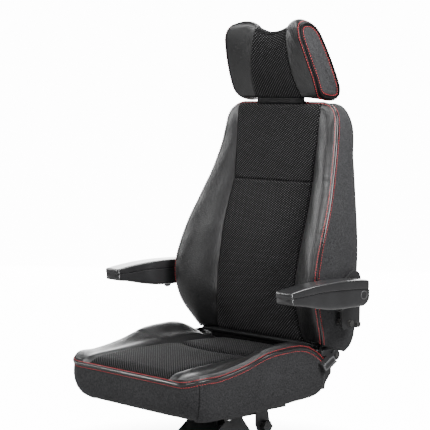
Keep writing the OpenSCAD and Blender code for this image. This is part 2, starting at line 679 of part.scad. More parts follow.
// Upright plate with a rounded head that carries the arm's pivot and its stop
module arm_bracket() difference() {
    union() {
        x_plate(bracket_x, arm_plate_t) union() {
            translate(arm_pivot) circle(26, $fn = 64);
            translate(arm_pivot + stop_at) circle(24, $fn = 64);
            translate(arm_pivot) polygon([[-25.5, -5], [-10, -24], [-8, -90], [-2, -96], [60, -96],
                [63, 25], [25, 48.5], [-12, 23]]);
        }
        x_bar(bracket_x + arm_plate_t - 1, arm_x - 1, arm_pivot + stop_at, stop_d);
    }
    x_bar(bracket_x - 1, bracket_x + arm_plate_t + 1, arm_pivot, arm_bolt_d + 2 * round_fit);
    arm_bolt_places() x_bar(cut_from, cut_to, [0, 0], arm_stud_d + 2 * round_fit);
}

module arm_bracket_left() color(black) arm_bracket();
module arm_bracket_right() color(black) mirror([1, 0, 0]) arm_bracket();

// Long bolts through the side of the back, with their spacer tubes, and the arm's pivot bolt
module arm_bolts() {
    arm_bolt_places() {
        x_bar(frame_x - plate_t - 8, bracket_x + arm_plate_t, [0, 0], arm_stud_d);
        x_bar(frame_x - plate_t - 8, frame_x - plate_t, [0, 0], 14);
        x_bar(plate_x, bracket_x, [0, 0], spacer_d);
        translate([bracket_x + arm_plate_t, 0, 0]) rotate([0, 90, 0]) {
            cylinder(d = 18, h = 2, $fn = 32);
            translate([0, 0, 2]) hex_head(16, 6.5);
        }
    }
    at_pivot() x_bar(bracket_x - 8, arm_x + arm_w - 12, [0, 0], arm_bolt_d);
    at_pivot() x_bar(bracket_x - 8, bracket_x, [0, 0], 19);
}

module arm_bolts_left() color(steel) arm_bolts();
module arm_bolts_right() color(steel) mirror([1, 0, 0]) arm_bolts();

hub_d = 26;
core_x = arm_x + 4;
core_t = 8;
core_len = arm_reach - 82;

// Steel core: a hub on the pivot bolt, a bar forward and a tail that stops under the bracket's pin
module arm_core() at_pivot() difference() {
    union() {
        x_bar(bracket_x + arm_plate_t + gap, arm_x + arm_w - 16, [0, 0], hub_d);
        x_plate(core_x, core_t) polygon([[0, -12], [0, 12], [-core_len, 15], [-core_len, 2]]);
        x_plate(bracket_x + arm_plate_t + 1, 6) rotate(tail_angle) translate([0, -14]) square([56, 14]);
    }
    x_bar(bracket_x, arm_x + arm_w, [0, 0], arm_bolt_d + 2 * round_fit);
}
tail_angle = atan2(stop_at[1], stop_at[0]) - asin((stop_d / 2 + gap) / norm(stop_at));

module arm_core_left() color(steel) arm_core();
module arm_core_right() color(steel) mirror([1, 0, 0]) arm_core();

// Heights of the armrest's top, of the seam under its pad and of its underside, against the
// distance ahead of the pivot
arm_s = arm_reach / 262;                // stretch of the armrest's stations with its reach
arm_rear = 23;
pad_overhang = 4;                       // the pad's nose stands this far ahead of the body
arm_ds = [0, 60, 100, 145, 180, 212, 240] * arm_s;
function arm_top(d) = lookup(d < 0 ? d : d / arm_s, [[-23, 36], [0, 39], [60, 41], [130, 40.5],
    [166, 38.5], [200, 35.5], [226, 33], [262, 27]]);
function arm_seam(d) = lookup(d < 0 ? d : d / arm_s, [[-23, 13], [0, 15], [60, 17.5], [100, 18.5],
    [180, 18], [212, 15.5], [262, 14]]);
arm_low = [[-226, -7], [-166, -20], [-119, -27], [-82, -29]];
nose_low = -4;

// Deep moulding under the pad, high at the rear and thin at the front, with room for the
// core's hub and bar, the adjuster wheel and the cap over the pivot bolt
module arm_shell() at_pivot() difference() {
    x_plate(arm_x, arm_w) polygon(concat(
        [[arm_rear - 1, arm_seam(1 - arm_rear)]],
        [for (d = arm_ds) [-d, arm_seam(d)]],
        [[pad_overhang - arm_reach, arm_seam(arm_reach)], [pad_overhang - arm_reach, nose_low]],
        [for (p = arm_low) [p[0] * arm_s, p[1]]],
        [[-78, -34], [arm_rear - 32, -37]],
        arc_pts([arm_rear - 31, -7], 30, -90, 0, 8)));
    nose_cut();
    x_bar(arm_x - 1, arm_x + arm_w - 15, [0, 0], hub_d + 2 * round_fit);
    x_plate(core_x - 0.5, core_t + 1)
        polygon([[1, -13], [1, 60], [-core_len - 1, 60], [-core_len - 1, 1]]);
    translate([wheel_x - 16, -wheel_d - 8, -50]) cube([32, 16, 50]);
    translate([wheel_x, -wheel_d + 15, wheel_h]) rotate([90, 0, 0])
        cylinder(d = 6 + 2 * round_fit, h = 30, $fn = 32);
    x_bar(arm_x + arm_w - 6, arm_x + arm_w + 1, [0, 0], cap_d + 2 * round_fit);
    x_bar(arm_x + arm_w - 20, arm_x + arm_w + 1, [0, 0], arm_bolt_d + 2);
}

// The nose is cut away below on the inner side, by a plane that falls outwards and rearwards
module nose_cut() translate([arm_x, -arm_reach, arm_seam(arm_reach) - 2]) rotate([-13.2, 32, 0])
    translate([-150, -150, -100]) cube([300, 400, 100]);

module arm_body_left() color(black) arm_shell();
module arm_body_right() color(black) mirror([1, 0, 0]) arm_shell();

wheel_x = arm_x + 28;
wheel_d = 60;
wheel_h = -25;
cap_d = 21;

// Soft moulded pad with a crowned top and a blunt nose with rounded corners
module arm_cushion() at_pivot() skin([for (d = concat([-arm_rear, -arm_rear + 2, -arm_rear + 8], arm_ds,
        [arm_reach - 12, arm_reach - 5, arm_reach - 1.5, arm_reach]))
    let (far = min(d + arm_rear, arm_reach - d), pinch = far < 8 ? 7 * pow(1 - far / 8, 2) : 0,
        x0 = arm_x + pinch, x1 = arm_x + arm_w - pinch, t = arm_top(d) - pinch * 0.4,
        s = arm_seam(d) + gap)
    [[x0 + 1, -d, s], [x1 - 1, -d, s], [x1, -d, mix(s, t, 0.5)], [x1 - 0.6, -d, t - 4],
        [x1 - 4, -d, t - 0.8], [mix(x1, x0, 0.3), -d, t + 1], [mix(x1, x0, 0.7), -d, t + 1],
        [x0 + 4, -d, t - 0.8], [x0 + 0.6, -d, t - 4], [x0, -d, mix(s, t, 0.5)]]]);

module arm_pad_left() color(black) arm_cushion();
module arm_pad_right() color(black) mirror([1, 0, 0]) arm_cushion();

// Knurled wheel under the arm, on its screw
module arm_wheel() at_pivot() translate([wheel_x, -wheel_d, wheel_h]) rotate([90, 0, 0]) {
    translate([0, 0, -4]) cylinder(d = 26, h = 8, $fn = 48);
    for (a = [0:30:330]) rotate(a) translate([13, 0, -4]) cylinder(d = 3, h = 8, $fn = 24);
    translate([0, 0, -14]) cylinder(d = 6, h = 28, $fn = 32);
}

// Cap over the end of the pivot bolt
module arm_cap() at_pivot() x_bar(arm_x + arm_w - 5.5, arm_x + arm_w, [0, 0], cap_d);
module arm_cap_left() color(cloth) arm_cap();
module arm_cap_right() color(cloth) mirror([1, 0, 0]) arm_cap();

module arm_wheel_left() color(cloth) arm_wheel();
module arm_wheel_right() color(cloth) mirror([1, 0, 0]) arm_wheel();

// ---- headrest -----------------------------------------------------------

// Two posts that join at the hinge bar, standing in the sleeves of the back
module headrest_posts() color(steel) {
    post_places() translate([0, 0, tilt_z - post_len]) cylinder(d = post_d, h = post_len, $fn = 48);
    x_bar(-post_gap / 2 - 12, post_gap / 2 + 12, hinge_at, post_d);
}

// Leather bridge between the posts. Its top is hollowed round the hinge, so the headrest
// can swing above it
sweep_r = 67.5;
neck_front_y = hinge_at[0] - 41.6;

module neck_cover() color(leather) difference() {
    translate([-76, neck_front_y, back_top + gap]) cube([152, 50, head_bottom - back_top - gap]);
    x_bar(-80, 80, hinge_at, 2 * sweep_r);
    post_places() {
        translate([0, 0, -10]) cylinder(d = post_d + 2 * round_fit, h = 60, $fn = 48);
        translate([0, 0, -10]) cylinder(d = guide_d + 12, h = 10 + collar_t + 2, $fn = 48);
    }
}

// Seam between the centre panel and the wings: it leans in towards the top
function head_seam(z) = head_w / 2 - 69 - 0.15 * (z - head_bottom - 25);
// End panels lean in a little at their tops
function head_end(z) = head_w / 2 - lookup(z - head_bottom, [[0, 1], [45, 1], [105, 5], [145, 10],
    [200, 22]]);

// Outline of the headrest from front to rear: t runs from the lower edge to the top, w from
// the centre panel out to the wings' ends
front_mid = [[0, 257], [0.07, 246], [0.15, 237], [0.26, 229], [0.38, 222], [0.5, 217], [0.61, 214],
    [0.73, 213], [0.84, 214], [0.93, 218], [1, 230]];
front_end = [[0, 258], [0.07, 245], [0.27, 230], [0.5, 211], [0.73, 192], [0.85, 188], [0.93, 189],
    [0.98, 195], [1, 203]];
rear_mid = [[0, 300], [0.03, 314], [0.13, 322], [0.26, 312], [0.6, 282], [0.86, 259], [0.94, 252],
    [1, 240]];
rear_end = [[0, 300], [0.03, 316], [0.13, 324], [0.24, 312], [0.54, 282], [0.84, 253], [0.93, 238],
    [1, 215]];
function head_top(w) = head_h + head_rise * (w < 0.65 ? pow(w / 0.65, 2) : 1 - 1.4 * pow(w - 0.65, 2));
function head_front(t, w) = mix(lookup(t, front_mid), lookup(t, front_end), pow(w, 1.4));
function head_rear(t, w) = mix(lookup(t, rear_mid), lookup(t, rear_end), w);

front_ts = [0, 0.03, 0.08, 0.18, 0.32, 0.48, 0.62, 0.75, 0.85, 0.92, 0.97, 1];

// Centre panel: a full roll over the top, and hollow behind for the posts and their hinge
module headrest_pad() color(weave) skin([for (u = [-1, -0.96, -0.6, -0.2, 0.2, 0.6, 0.96, 1])
    let (h = head_top(0.3 * u * u), e = abs(u) > 0.98 ? 3 : 0, dip = 3 * (1 - u * u))
    [for (p = concat([for (t = front_ts) [head_front(t, 0) + e + dip, t * h - (t > 0.9 ? e : 0)]],
            [[head_rear(1, 0), h - e], [head_rear(0.94, 0), 0.94 * h], [head_rear(0.88, 0), 0.88 * h],
             [head_rear(0.86, 0) - 8, 0.86 * h], [hinge_at[0] - 14, hinge_at[1] + 14 - head_bottom],
             [hinge_at[0] - 14, hinge_at[1] - 4 - head_bottom], [hinge_at[0] - 25.5, 1]]))
        [u * (head_seam(p[1] + head_bottom) - gap / 2), p[0], p[1] + head_bottom]]]);

// Wing: full depth, fatter in front than the centre panel, closed by a rounded end panel
module headrest_wing() skin([for (w = [0, 0.04, 0.2, 0.4, 0.6, 0.78, 0.9, 0.97, 1])
    let (h = head_top(mix(0.3, 1, w)), e = w < 0.02 ? 3 : w > 0.98 ? 4 : w > 0.96 ? 1 : 0)
    [for (p = concat([for (t = front_ts) [head_front(t, w) + e, t * h + (t > 0.9 ? -e : t < 0.02 ? e : 0)]],
            [for (t = [1, 0.93, 0.84, 0.54, 0.24, 0.13, 0.05, 0]) [head_rear(t, w) - (t > 0 ? e : 0),
                t * h + (t > 0.9 ? -e : t < 0.06 ? e : 0)]]))
        let (z = p[1] + head_bottom) [mix(head_seam(z) + gap / 2, head_end(z), w), p[0], z]]],
    tail = [2, 0, 0]);

module headrest_wing_left() color(leather) headrest_wing();
module headrest_wing_right() color(leather) mirror([1, 0, 0]) headrest_wing();

// Rear board with the two lugs that turn on the hinge bar
board_lean = atan2(312 - 256.5, 1106 - 996);
board_out = 14.5;
board_t = 4;
board_low = -34;
board_high = 98;
lug_x = 24;
lug_w = 9;

// Half width of the board, a little inside the seams
function board_half(h) = head_seam(hinge_at[1] + h * cos(board_lean)) - 4;

module headrest_board() color(black) difference() {
    translate([0, hinge_at[0], hinge_at[1]]) rotate([board_lean, 0, 0]) {
        translate([0, board_out, 0]) rotate([90, 0, 0]) linear_extrude(board_t)
            polygon([for (p = [[-1, board_low], [1, board_low], [1, board_high], [-1, board_high]])
                [p[0] * board_half(p[1]), p[1]]]);
        for (s = [-1, 1]) translate([s * (lug_x + lug_w / 2) - lug_w / 2, -9, -9])
            cube([lug_w, board_out + 8, 18]);
    }
    x_bar(-post_gap, post_gap, hinge_at, post_d + 2 * round_fit);
}

// ---- build --------------------------------------------------------------

base_plate();
pedestal_cheek_left();
pedestal_cheek_right();
pedestal_front_plate();
pedestal_rear_plate();
pedestal_top_plate();
lower_rail_left();
lower_rail_right();
rail_bolts();
clamp_bracket();
clamp_stud();
clamp_knob();
upper_rail_left();
upper_rail_right();
rail_rollers();
pan_bolts();
seat_pan();
seat_foam();
seat_pad_front();
seat_pad_rear();
seat_bolster_left();
seat_bolster_right();
recliner_bracket_left();
recliner_bracket_right();
recliner_rod();
recline_lever();
recline_grip();
recliner_arm_left();
recliner_arm_right();
back_frame();
back_rear_cover();
back_side_left();
back_side_right();
back_top_panel();
back_pad_upper();
back_pad_lower();
back_bolster_left();
back_bolster_right();
back_roll();
headrest_guides();
arm_bracket_left();
arm_bracket_right();
arm_bolts_left();
arm_bolts_right();
headrest_posts();
neck_cover();
headrest_board();
headrest_pad();
headrest_wing_left();
headrest_wing_right();
arm_core_left();
arm_core_right();
arm_body_left();
arm_body_right();
arm_pad_left();
arm_pad_right();
arm_cap_left();
arm_cap_right();
arm_wheel_left();
arm_wheel_right();
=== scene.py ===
import math

import bpy
import numpy as np
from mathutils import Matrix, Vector


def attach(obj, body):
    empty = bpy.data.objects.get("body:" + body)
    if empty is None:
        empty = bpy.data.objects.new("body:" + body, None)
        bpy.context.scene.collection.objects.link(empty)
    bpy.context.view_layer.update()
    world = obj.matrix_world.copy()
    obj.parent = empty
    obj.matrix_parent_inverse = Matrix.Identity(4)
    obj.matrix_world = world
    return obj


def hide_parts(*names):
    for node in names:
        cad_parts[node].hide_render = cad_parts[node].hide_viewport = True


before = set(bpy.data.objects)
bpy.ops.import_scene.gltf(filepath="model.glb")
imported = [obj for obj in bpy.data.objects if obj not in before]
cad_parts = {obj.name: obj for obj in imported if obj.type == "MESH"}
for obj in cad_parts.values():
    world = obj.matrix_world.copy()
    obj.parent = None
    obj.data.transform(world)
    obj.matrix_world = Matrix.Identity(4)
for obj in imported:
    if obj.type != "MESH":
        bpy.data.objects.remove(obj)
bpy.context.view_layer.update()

# ---- camera ---------------------------------------------------------------
# A long lens, well back from the seat's front left corner and a little above its middle.
# The square frame ends just below the top of the pedestal.

image_width = 430
focal_length = 1543.27  # in pixels of that width
camera_down, camera_round = 4.9, 47.0  # degrees below level, and about the seat
camera_data = bpy.data.cameras.new("camera")
camera_data.sensor_width = 36.0
camera_data.lens = camera_data.sensor_width * focal_length / image_width
camera = bpy.data.objects.new("camera", camera_data)
camera.location = (2.92543, -2.70948, 0.98872)
camera.rotation_euler = (math.radians(90 - camera_down), 0, math.radians(camera_round))
bpy.context.scene.collection.objects.link(camera)
bpy.context.scene.camera = camera

# ---- materials of the studio, floor and lights ----------------------------
# A white studio: a pale floor that runs into a bright backdrop without an edge, and large
# softboxes round the seat. The socket class that all materials use is made here.


class Wire:
    """A socket in a material's node tree. Arithmetic on it adds Math nodes."""

    def __init__(self, tree, socket=None):
        self.tree = tree
        self.socket = socket

    def node(self, kind, inputs=None, out=0, **settings):
        """Adds a node: its settings first, then the values or links of its sockets."""
        made = self.tree.nodes.new(kind)
        for name, value in settings.items():
            setattr(made, name, value)
        for key, value in (inputs or {}).items():
            if isinstance(value, Wire):
                self.tree.links.new(value.socket, made.inputs[key])
            else:
                made.inputs[key].default_value = value
        return Wire(self.tree, made.outputs[out])

    def math(self, operation, *others):
        """A Math node over this value and others."""
        return self.node("ShaderNodeMath", dict(enumerate((self, *others))), operation=operation)

    def __add__(self, other):
        return self.math("ADD", other)

    def __sub__(self, other):
        return self.math("SUBTRACT", other)

    def __mul__(self, other):
        return self.math("MULTIPLY", other)

    __radd__ = __add__
    __rmul__ = __mul__

    def __rsub__(self, other):
        return self.node("ShaderNodeMath", {0: other, 1: self}, operation="SUBTRACT")

    def wave(self, turns=1.0):
        """Sine of the value in turns, brought to 0..1."""
        return (self * (math.tau * turns)).math("SINE") * 0.5 + 0.5

    def noise(self, scale, detail=2.0, roughness=0.5):
        """Cloudy value of about 0..1 at this place, finer with scale."""
        return self.node("ShaderNodeTexNoise",
                         {"Vector": self, "Scale": scale, "Detail": detail, "Roughness": roughness})

    def part(self, axis):
        """One of the three numbers of a vector."""
        return self.node("ShaderNodeSeparateXYZ", {0: self}, out="XYZ".index(axis))

    def tint(self, low, high):
        """Colour between two others, by this value."""
        return self.node("ShaderNodeMix", {0: self, 6: (*low, 1), 7: (*high, 1)}, out=2, data_type="RGBA")

    def bump(self, depth, strength=1.0):
        """Normal of a surface raised by this value times depth, in metres."""
        return self.node("ShaderNodeBump", {"Height": self, "Distance": depth, "Strength": strength})


def finish(name, paint, coordinates="Object", **constants):
    """Material whose constant sockets are set directly, and whose varying sockets come from
    paint, which gets the coordinates and returns a dictionary of sockets."""
    material = bpy.data.materials.new(name)
    material.use_nodes = True
    tree = material.node_tree
    shader = tree.nodes["Principled BSDF"]
    for key, value in constants.items():
        shader.inputs[key.replace("_", " ")].default_value = value
    place = Wire(tree).node("ShaderNodeTexCoord", out=3 if coordinates == "Object" else 2)
    for key, wire in paint(place).items():
        tree.links.new(wire.socket, shader.inputs[key])
    return material


studio_white = 14.0  # strength of the backdrop as the camera sees it
floor_reach = 40.0   # radius of the floor in metres


def pale_floor(place):
    """Matt white close to the seat. Further out, rays from the camera see it as bright as the
    backdrop, so its far edge doesn't show."""
    away = place.node("ShaderNodeVectorMath", {0: place}, out=1, operation="LENGTH")
    far = away.node("ShaderNodeMapRange", {0: away, 1: 0.15, 2: 0.55, 3: 0.0, 4: 1.0})
    direct = place.node("ShaderNodeLightPath", out=0)
    glow = 0.12 + (far * direct) * studio_white
    white = glow.node("ShaderNodeCombineXYZ", {0: glow, 1: glow, 2: glow})
    return {"Base Color": far.tint((0.60, 0.60, 0.60), (0.35, 0.35, 0.35)), "Emission Color": white}


turn = np.arange(96) * math.tau / 96
floor_rim = floor_reach * np.stack([np.cos(turn), np.sin(turn), 0 * turn], -1)
floor_mesh = bpy.data.meshes.new("floor")
floor_mesh.from_pydata(floor_rim.tolist(), [], [tuple(range(96))])
floor = bpy.data.objects.new("floor", floor_mesh)
bpy.context.scene.collection.objects.link(floor)
floor_mesh.materials.append(finish("studio_floor", pale_floor, Roughness=0.9, Emission_Strength=1.0,
                                   Specular_IOR_Level=0.0))

world = bpy.data.worlds.new("studio")
bpy.context.scene.world = world
world.use_nodes = True
sky = Wire(world.node_tree)
seen = sky.node("ShaderNodeLightPath", out=0)
backdrop = world.node_tree.nodes["Background"]
backdrop.inputs[0].default_value = (1, 1, 1, 1)
world.node_tree.links.new((seen * studio_white + 0.03).socket, backdrop.inputs[1])


def softbox(name, place, target, size, power, spread=180):
    """Rectangular light at a place, turned to face a point, its beam narrowed to spread degrees."""
    data = bpy.data.lights.new(name, "AREA")
    data.shape = "RECTANGLE"
    data.size, data.size_y = size
    data.energy = power
    data.spread = math.radians(spread)
    light = bpy.data.objects.new(name, data)
    light.location = place
    light.rotation_euler = (Vector(target) - Vector(place)).to_track_quat("-Z", "Y").to_euler()
    bpy.context.scene.collection.objects.link(light)


softbox("left_softbox", (-3.0, -0.6, 2.4), (0, 0, 0.7), (0.9, 1.6), 50)
softbox("nose_softbox", (-2.3, -2.1, 1.5), (0, 0, 0.6), (0.4, 0.5), 36)
softbox("front_softbox", (0.5, -3.0, 1.3), (0, 0, 0.7), (0.35, 1.2), 20)
softbox("top_softbox", (0.1, -1.6, 3.2), (0, -0.1, 0.3), (1.8, 1.4), 110)
softbox("side_softbox", (1.9, 0.1, 2.0), (0.1, 0.1, 1.55), (0.8, 1.2), 50, 100)
softbox("low_side_softbox", (2.9, -0.9, 0.3), (0.27, 0.25, 0.48), (0.5, 0.5), 7, 70)
softbox("rear_softbox", (-2.6, 3.0, 1.3), (0, 0, 0.5), (3.4, 2.4), 210)
softbox("overhead_softbox", (0.1, 1.5, 2.9), (0, 0, 0.5), (1.8, 0.8), 65)

# ---- pedestal, slide and clamp --------------------------------------------
# Laser-cut and folded steel plates in satin black powder coat, bolted to two black slide
# rails with zinc-plated bolts. The clamp's knob is moulded plastic on a steel screw.


def powder_coat(place):
    """Fine orange peel over a slow change of shade, paler dust on it in places."""
    peel = place.noise(900.0)
    cloud = place.noise(9.0, 4.0)
    return {"Base Color": cloud.tint((0.009, 0.009, 0.0095), (0.019, 0.019, 0.020)),
            "Roughness": 0.36 + cloud * 0.16, "Normal": peel.bump(0.0002, 0.25)}


def rolled_zinc(place):
    """Dull plating with long drawing marks and a little blotching."""
    marks = place.node("ShaderNodeMapping", {0: place, 3: (900.0, 12.0, 900.0)}).noise(1.0, 3.0)
    blotch = place.noise(26.0, 4.0)
    return {"Base Color": blotch.tint((0.42, 0.43, 0.45), (0.62, 0.62, 0.61)),
            "Roughness": 0.30 + marks * 0.2, "Normal": marks.bump(0.0001, 0.3)}


def grained_plastic(place):
    """Spark-eroded grain: small rounded pebbles, a little uneven in gloss."""
    pebbles = place.node("ShaderNodeTexVoronoi", {"Vector": place, "Scale": 1300.0}, feature="SMOOTH_F1")
    cloud = place.noise(14.0, 3.0)
    return {"Base Color": cloud.tint((0.009, 0.009, 0.0095), (0.017, 0.017, 0.018)),
            "Roughness": 0.42 + cloud * 0.12, "Normal": pebbles.bump(0.0002, 0.35)}


def oxide_black(place):
    """Oiled black oxide, browner and duller where hands and tools rub it."""
    rub = place.noise(60.0, 5.0)
    return {"Base Color": rub.tint((0.030, 0.030, 0.031), (0.10, 0.098, 0.094)),
            "Roughness": 0.28 + rub * 0.25, "Normal": place.noise(700.0).bump(0.0001, 0.3)}


def coat(material, *names):
    """Gives nodes of the CAD model their material."""
    for name in names:
        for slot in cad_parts[name].material_slots:
            slot.material = material


black_steel = finish("black_steel", powder_coat, Specular_IOR_Level=0.5)
zinc_steel = finish("zinc_steel", rolled_zinc, Metallic=1.0)
black_plastic = finish("black_plastic", grained_plastic)
black_bolts = finish("black_bolts", oxide_black, Metallic=0.6)
coat(black_steel, "base_plate", "pedestal_cheek_left", "pedestal_cheek_right", "pedestal_front_plate",
     "pedestal_rear_plate", "pedestal_top_plate", "clamp_bracket", "seat_pan", "lower_rail_left",
     "lower_rail_right", "upper_rail_left", "upper_rail_right")
coat(zinc_steel, "rail_bolts", "rail_rollers", "pan_bolts", "clamp_stud")
coat(black_plastic, "clamp_knob")

# ---- cushion: woven centre panels -----------------------------------------
# Foam under black spacer mesh, in two pieces that meet in a shallow curved seam. The mesh
# runs over the front edge and is sewn to the side bolsters along both sides.


def through(x, xs, ys):
    """Smooth curve through stations: a cubic between each two, whose slope at a station is
    taken from its neighbours."""
    xs, ys = np.asarray(xs, float), np.asarray(ys, float)
    slope = np.gradient(ys, xs, axis=0)
    x = np.clip(x, xs[0], xs[-1])
    i = np.clip(np.searchsorted(xs, x, side="right") - 1, 0, len(xs) - 2)
    step = xs[i + 1] - xs[i]
    t = (x - xs[i]) / step
    if ys.ndim > 1:
        step, t = step[..., None], t[..., None]
    return (ys[i] * (1 + 2 * t) * (1 - t) ** 2 + slope[i] * step * t * (1 - t) ** 2
            + ys[i + 1] * t * t * (3 - 2 * t) + slope[i + 1] * step * t * t * (t - 1))


def quads(a, b, c, d):
    """Faces of four corners, from four arrays of point numbers."""
    return np.stack([a, b, c, d], -1).reshape(-1, 4)


def solid(name, points, faces, uv=None, crease=50):
    """Closed piece from points in millimetres, its faces turned outwards by the sign of its
    volume, smooth up to the crease angle. uv is in metres, one pair for each point."""
    points = np.asarray(points, float).reshape(-1, 3) * 0.001
    corner = points[faces] - points.mean(0)
    normal = np.cross(corner[:, 2] - corner[:, 0], corner[:, 3] - corner[:, 1])
    if np.einsum("ij,ij->", corner[:, 0], normal) < 0:
        faces = faces[:, ::-1]
    mesh = bpy.data.meshes.new(name)
    mesh.from_pydata(points.tolist(), [], faces.tolist())
    if uv is not None:
        layer = mesh.uv_layers.new(name="cloth")
        layer.data.foreach_set("uv", np.asarray(uv, np.float32).reshape(-1, 2)[faces.ravel()].ravel())
    mesh.polygons.foreach_set("use_smooth", np.ones(len(faces), bool))
    mesh.set_sharp_from_angle(angle=math.radians(crease))
    piece = bpy.data.objects.new(name, mesh)
    bpy.context.scene.collection.objects.link(piece)
    return piece


def slab(name, front, back, uv=None, crease=50):
    """Closed piece between two grids of the same shape, joined round their rims."""
    m, n = front.shape[:2]
    k = np.arange(m * n).reshape(m, n)
    face = quads(k[:-1, :-1], k[:-1, 1:], k[1:, 1:], k[1:, :-1])
    rim = np.concatenate([k[0], k[1:, -1], k[-1, -2::-1], k[-2:0:-1, 0]])
    after = np.roll(rim, -1)
    faces = np.concatenate([face, face[:, ::-1] + m * n, quads(after, rim, rim + m * n, after + m * n)])
    if uv is not None:
        uv = np.concatenate([uv.reshape(-1, 2), uv.reshape(-1, 2)])
    return solid(name, np.concatenate([front.reshape(-1, 3), back.reshape(-1, 3)]), faces, uv, crease)


def dress(piece, material, body, replaced=()):
    """Gives a piece its material, the body it rides on and the nodes it stands for."""
    piece.data.materials.append(material)
    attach(piece, body)
    if replaced:
        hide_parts(*replaced)
    return piece


def spaced(*ends_and_counts):
    """Stations between given places: place, count, place, count, place ..."""
    places, counts = ends_and_counts[::2], ends_and_counts[1::2]
    runs = [np.linspace(a, b, n, endpoint=False) for a, b, n in zip(places, places[1:], counts)]
    return np.concatenate(runs + [[places[-1]]])


def fading(distance, reach, power=2):
    """1 at a line, falling to 0 at its reach from it."""
    return np.clip(1 - distance / reach, 0, 1) ** power


def diagonal_mesh(rise, pitch, knot):
    """Black spacer mesh: ribs of small knots that rise by an angle, with holes between them. The knots are
    painted lighter as a painted highlight, and the holes near black, partly the dark yarn and foam under them
    and partly painted shade.
    The pattern lies on the piece's own cloth coordinates, in metres."""
    def paint(cloth):
        """Two waves, across and along the ribs, multiplied into knots."""
        u, v = cloth.part("X"), cloth.part("Y")
        across_ribs = (v * math.cos(rise) - u * math.sin(rise)) * (1 / pitch)
        along_ribs = (u * math.cos(rise) + v * math.sin(rise)) * (1 / knot)
        wander = cloth.noise(60.0, 2.0) * 0.25
        knots = (across_ribs + wander).wave() * ((along_ribs + across_ribs * 0.5).wave() * 0.93 + 0.07)
        height = knots.node("ShaderNodeMapRange", {0: knots, 1: 0.60, 2: 0.98, 3: 0.0, 4: 1.0})
        # Painted highlight: the knots get a paler colour than black yarn has. Painted shade, partly their own
        # dark: the holes between them are near black.
        shade = height * (0.72 + cloth.noise(16.0, 3.0) * 0.4)
        return {"Base Color": shade.tint((0.0004, 0.0004, 0.0005), (0.15, 0.15, 0.155)),
                "Roughness": 0.85 - height * 0.25, "Normal": height.bump(0.0016, 0.8)}
    return paint


seat_mesh = finish("seat_mesh", diagonal_mesh(math.radians(-41), 0.0056, 0.0046), "UV",
                   Specular_IOR_Level=0.08, Sheen_Weight=0.05, Sheen_Roughness=0.4)

cushion_front, pads_end = -283.0, 178.0  # front of the cushion, rear end of its upper pads
panel_x = 152.0                          # half width of the woven panels
foam_top = 262.3                         # height at which the covers rest on the foam
panel_y = [-283, -280, -274, -265, -240, -200, -130, -30, 50, 110, 178]
panel_z = [272, 277.5, 283, 287.5, 292, 295.5, 298, 298, 297, 295, 291]


def panel_height(x, y):
    """Top of the woven panels: flat along the middle, rolled over the front edge, drawn down
    a little at the seams with the bolsters."""
    across = np.abs(x) / panel_x
    return through(y, panel_y, panel_z) + 1.5 - 3 * across ** 2 - 5 * fading(1 - across, 0.1)


def seam_place(x):
    """The curved seam across the cushion: it runs back towards both sides."""
    return -1 + 0.0017 * x * x


def woven_panel(name, start, end, seam_at_start, node):
    """Panel between two lines across the cushion, sunk into the seam at one of them and
    sloping down to it from further off."""
    u = spaced(-1, 4, -0.94, 44, 0.94, 4, 1)
    v = spaced(0, 5, 0.04, 60, 0.96, 5, 1) if seam_at_start else spaced(0, 8, 0.06, 60, 0.96, 5, 1)
    slope, slope_reach = (5, 28) if seam_at_start else (9, 70)
    x = u[None, :] * panel_x * np.ones((len(v), 1))
    y = start(x) + (end(x) - start(x)) * v[:, None]
    to_seam = y - start(x) if seam_at_start else end(x) - y
    middle = 1 - 0.35 * np.abs(x / panel_x) ** 3
    z = panel_height(x, y) - 5.5 * fading(to_seam, 7) - middle * slope * fading(to_seam, slope_reach, 1.6)
    front = np.stack([x, y, z], -1)
    back = np.stack([x, y, np.full_like(z, foam_top)], -1)
    step = np.hypot(np.diff(y, axis=0, prepend=y[:1]), np.diff(z, axis=0, prepend=z[:1]))
    cloth = np.stack([x, y[:1] + np.cumsum(step, axis=0)], -1) * 0.001
    return dress(slab(name, front, back, cloth), seat_mesh, "seat", [node])


woven_panel("cushion_panel_front", lambda x: cushion_front + 0 * x, lambda x: seam_place(x) - 0.6,
            False, "seat_pad_front")
woven_panel("cushion_panel_rear", lambda x: seam_place(x) + 0.6, lambda x: pads_end + 0 * x,
            True, "seat_pad_rear")

# ---- cushion: leather bolsters --------------------------------------------
# Black leatherette over foam. Each rises from the woven panel to a crest and drops to the
# piped edge. A dart runs outwards and forwards across it, and the lobe behind it stands prouder.


def leather(place):
    """Fine pebbled grain with shallow creases, glossier on the high spots."""
    grain = place.node("ShaderNodeTexVoronoi", {"Vector": place, "Scale": 480.0}, feature="SMOOTH_F1")
    crease = place.noise(30.0, 6.0, 0.62)
    cloud = place.noise(7.0, 3.0)
    pebble = place.noise(220.0, 3.0, 0.7)
    return {"Base Color": (cloud * 0.5 + pebble * 0.5).tint((0.002, 0.002, 0.0021), (0.012, 0.012, 0.0126)),
            "Roughness": 0.14 + crease * 0.18 + pebble * 0.26,
            "Normal": (grain * 0.5 + crease + pebble * 0.8).bump(0.0016, 0.5)}


black_leather = finish("black_leather", leather, Specular_IOR_Level=0.5)
dull_leather = finish("dull_leather", leather, Specular_IOR_Level=0.06)

edge_y = [-283, -262, -194, -110, -23, 40, 75, 103, 149, 178]
edge_z = [273, 280, 283, 297, 320, 325, 325, 321, 299, 276]
crest_z = [279, 288, 292, 306, 329, 334, 334, 329, 307, 285]
cushion_half, cushion_rear = 245.0, 188.0
corner_r, rear_corner_r = 52.0, 24.0
dart_y, dart_slant = -18.0, 40.0  # where the dart starts, and how far forward it runs
hands = ((1, "left"), (-1, "right"))


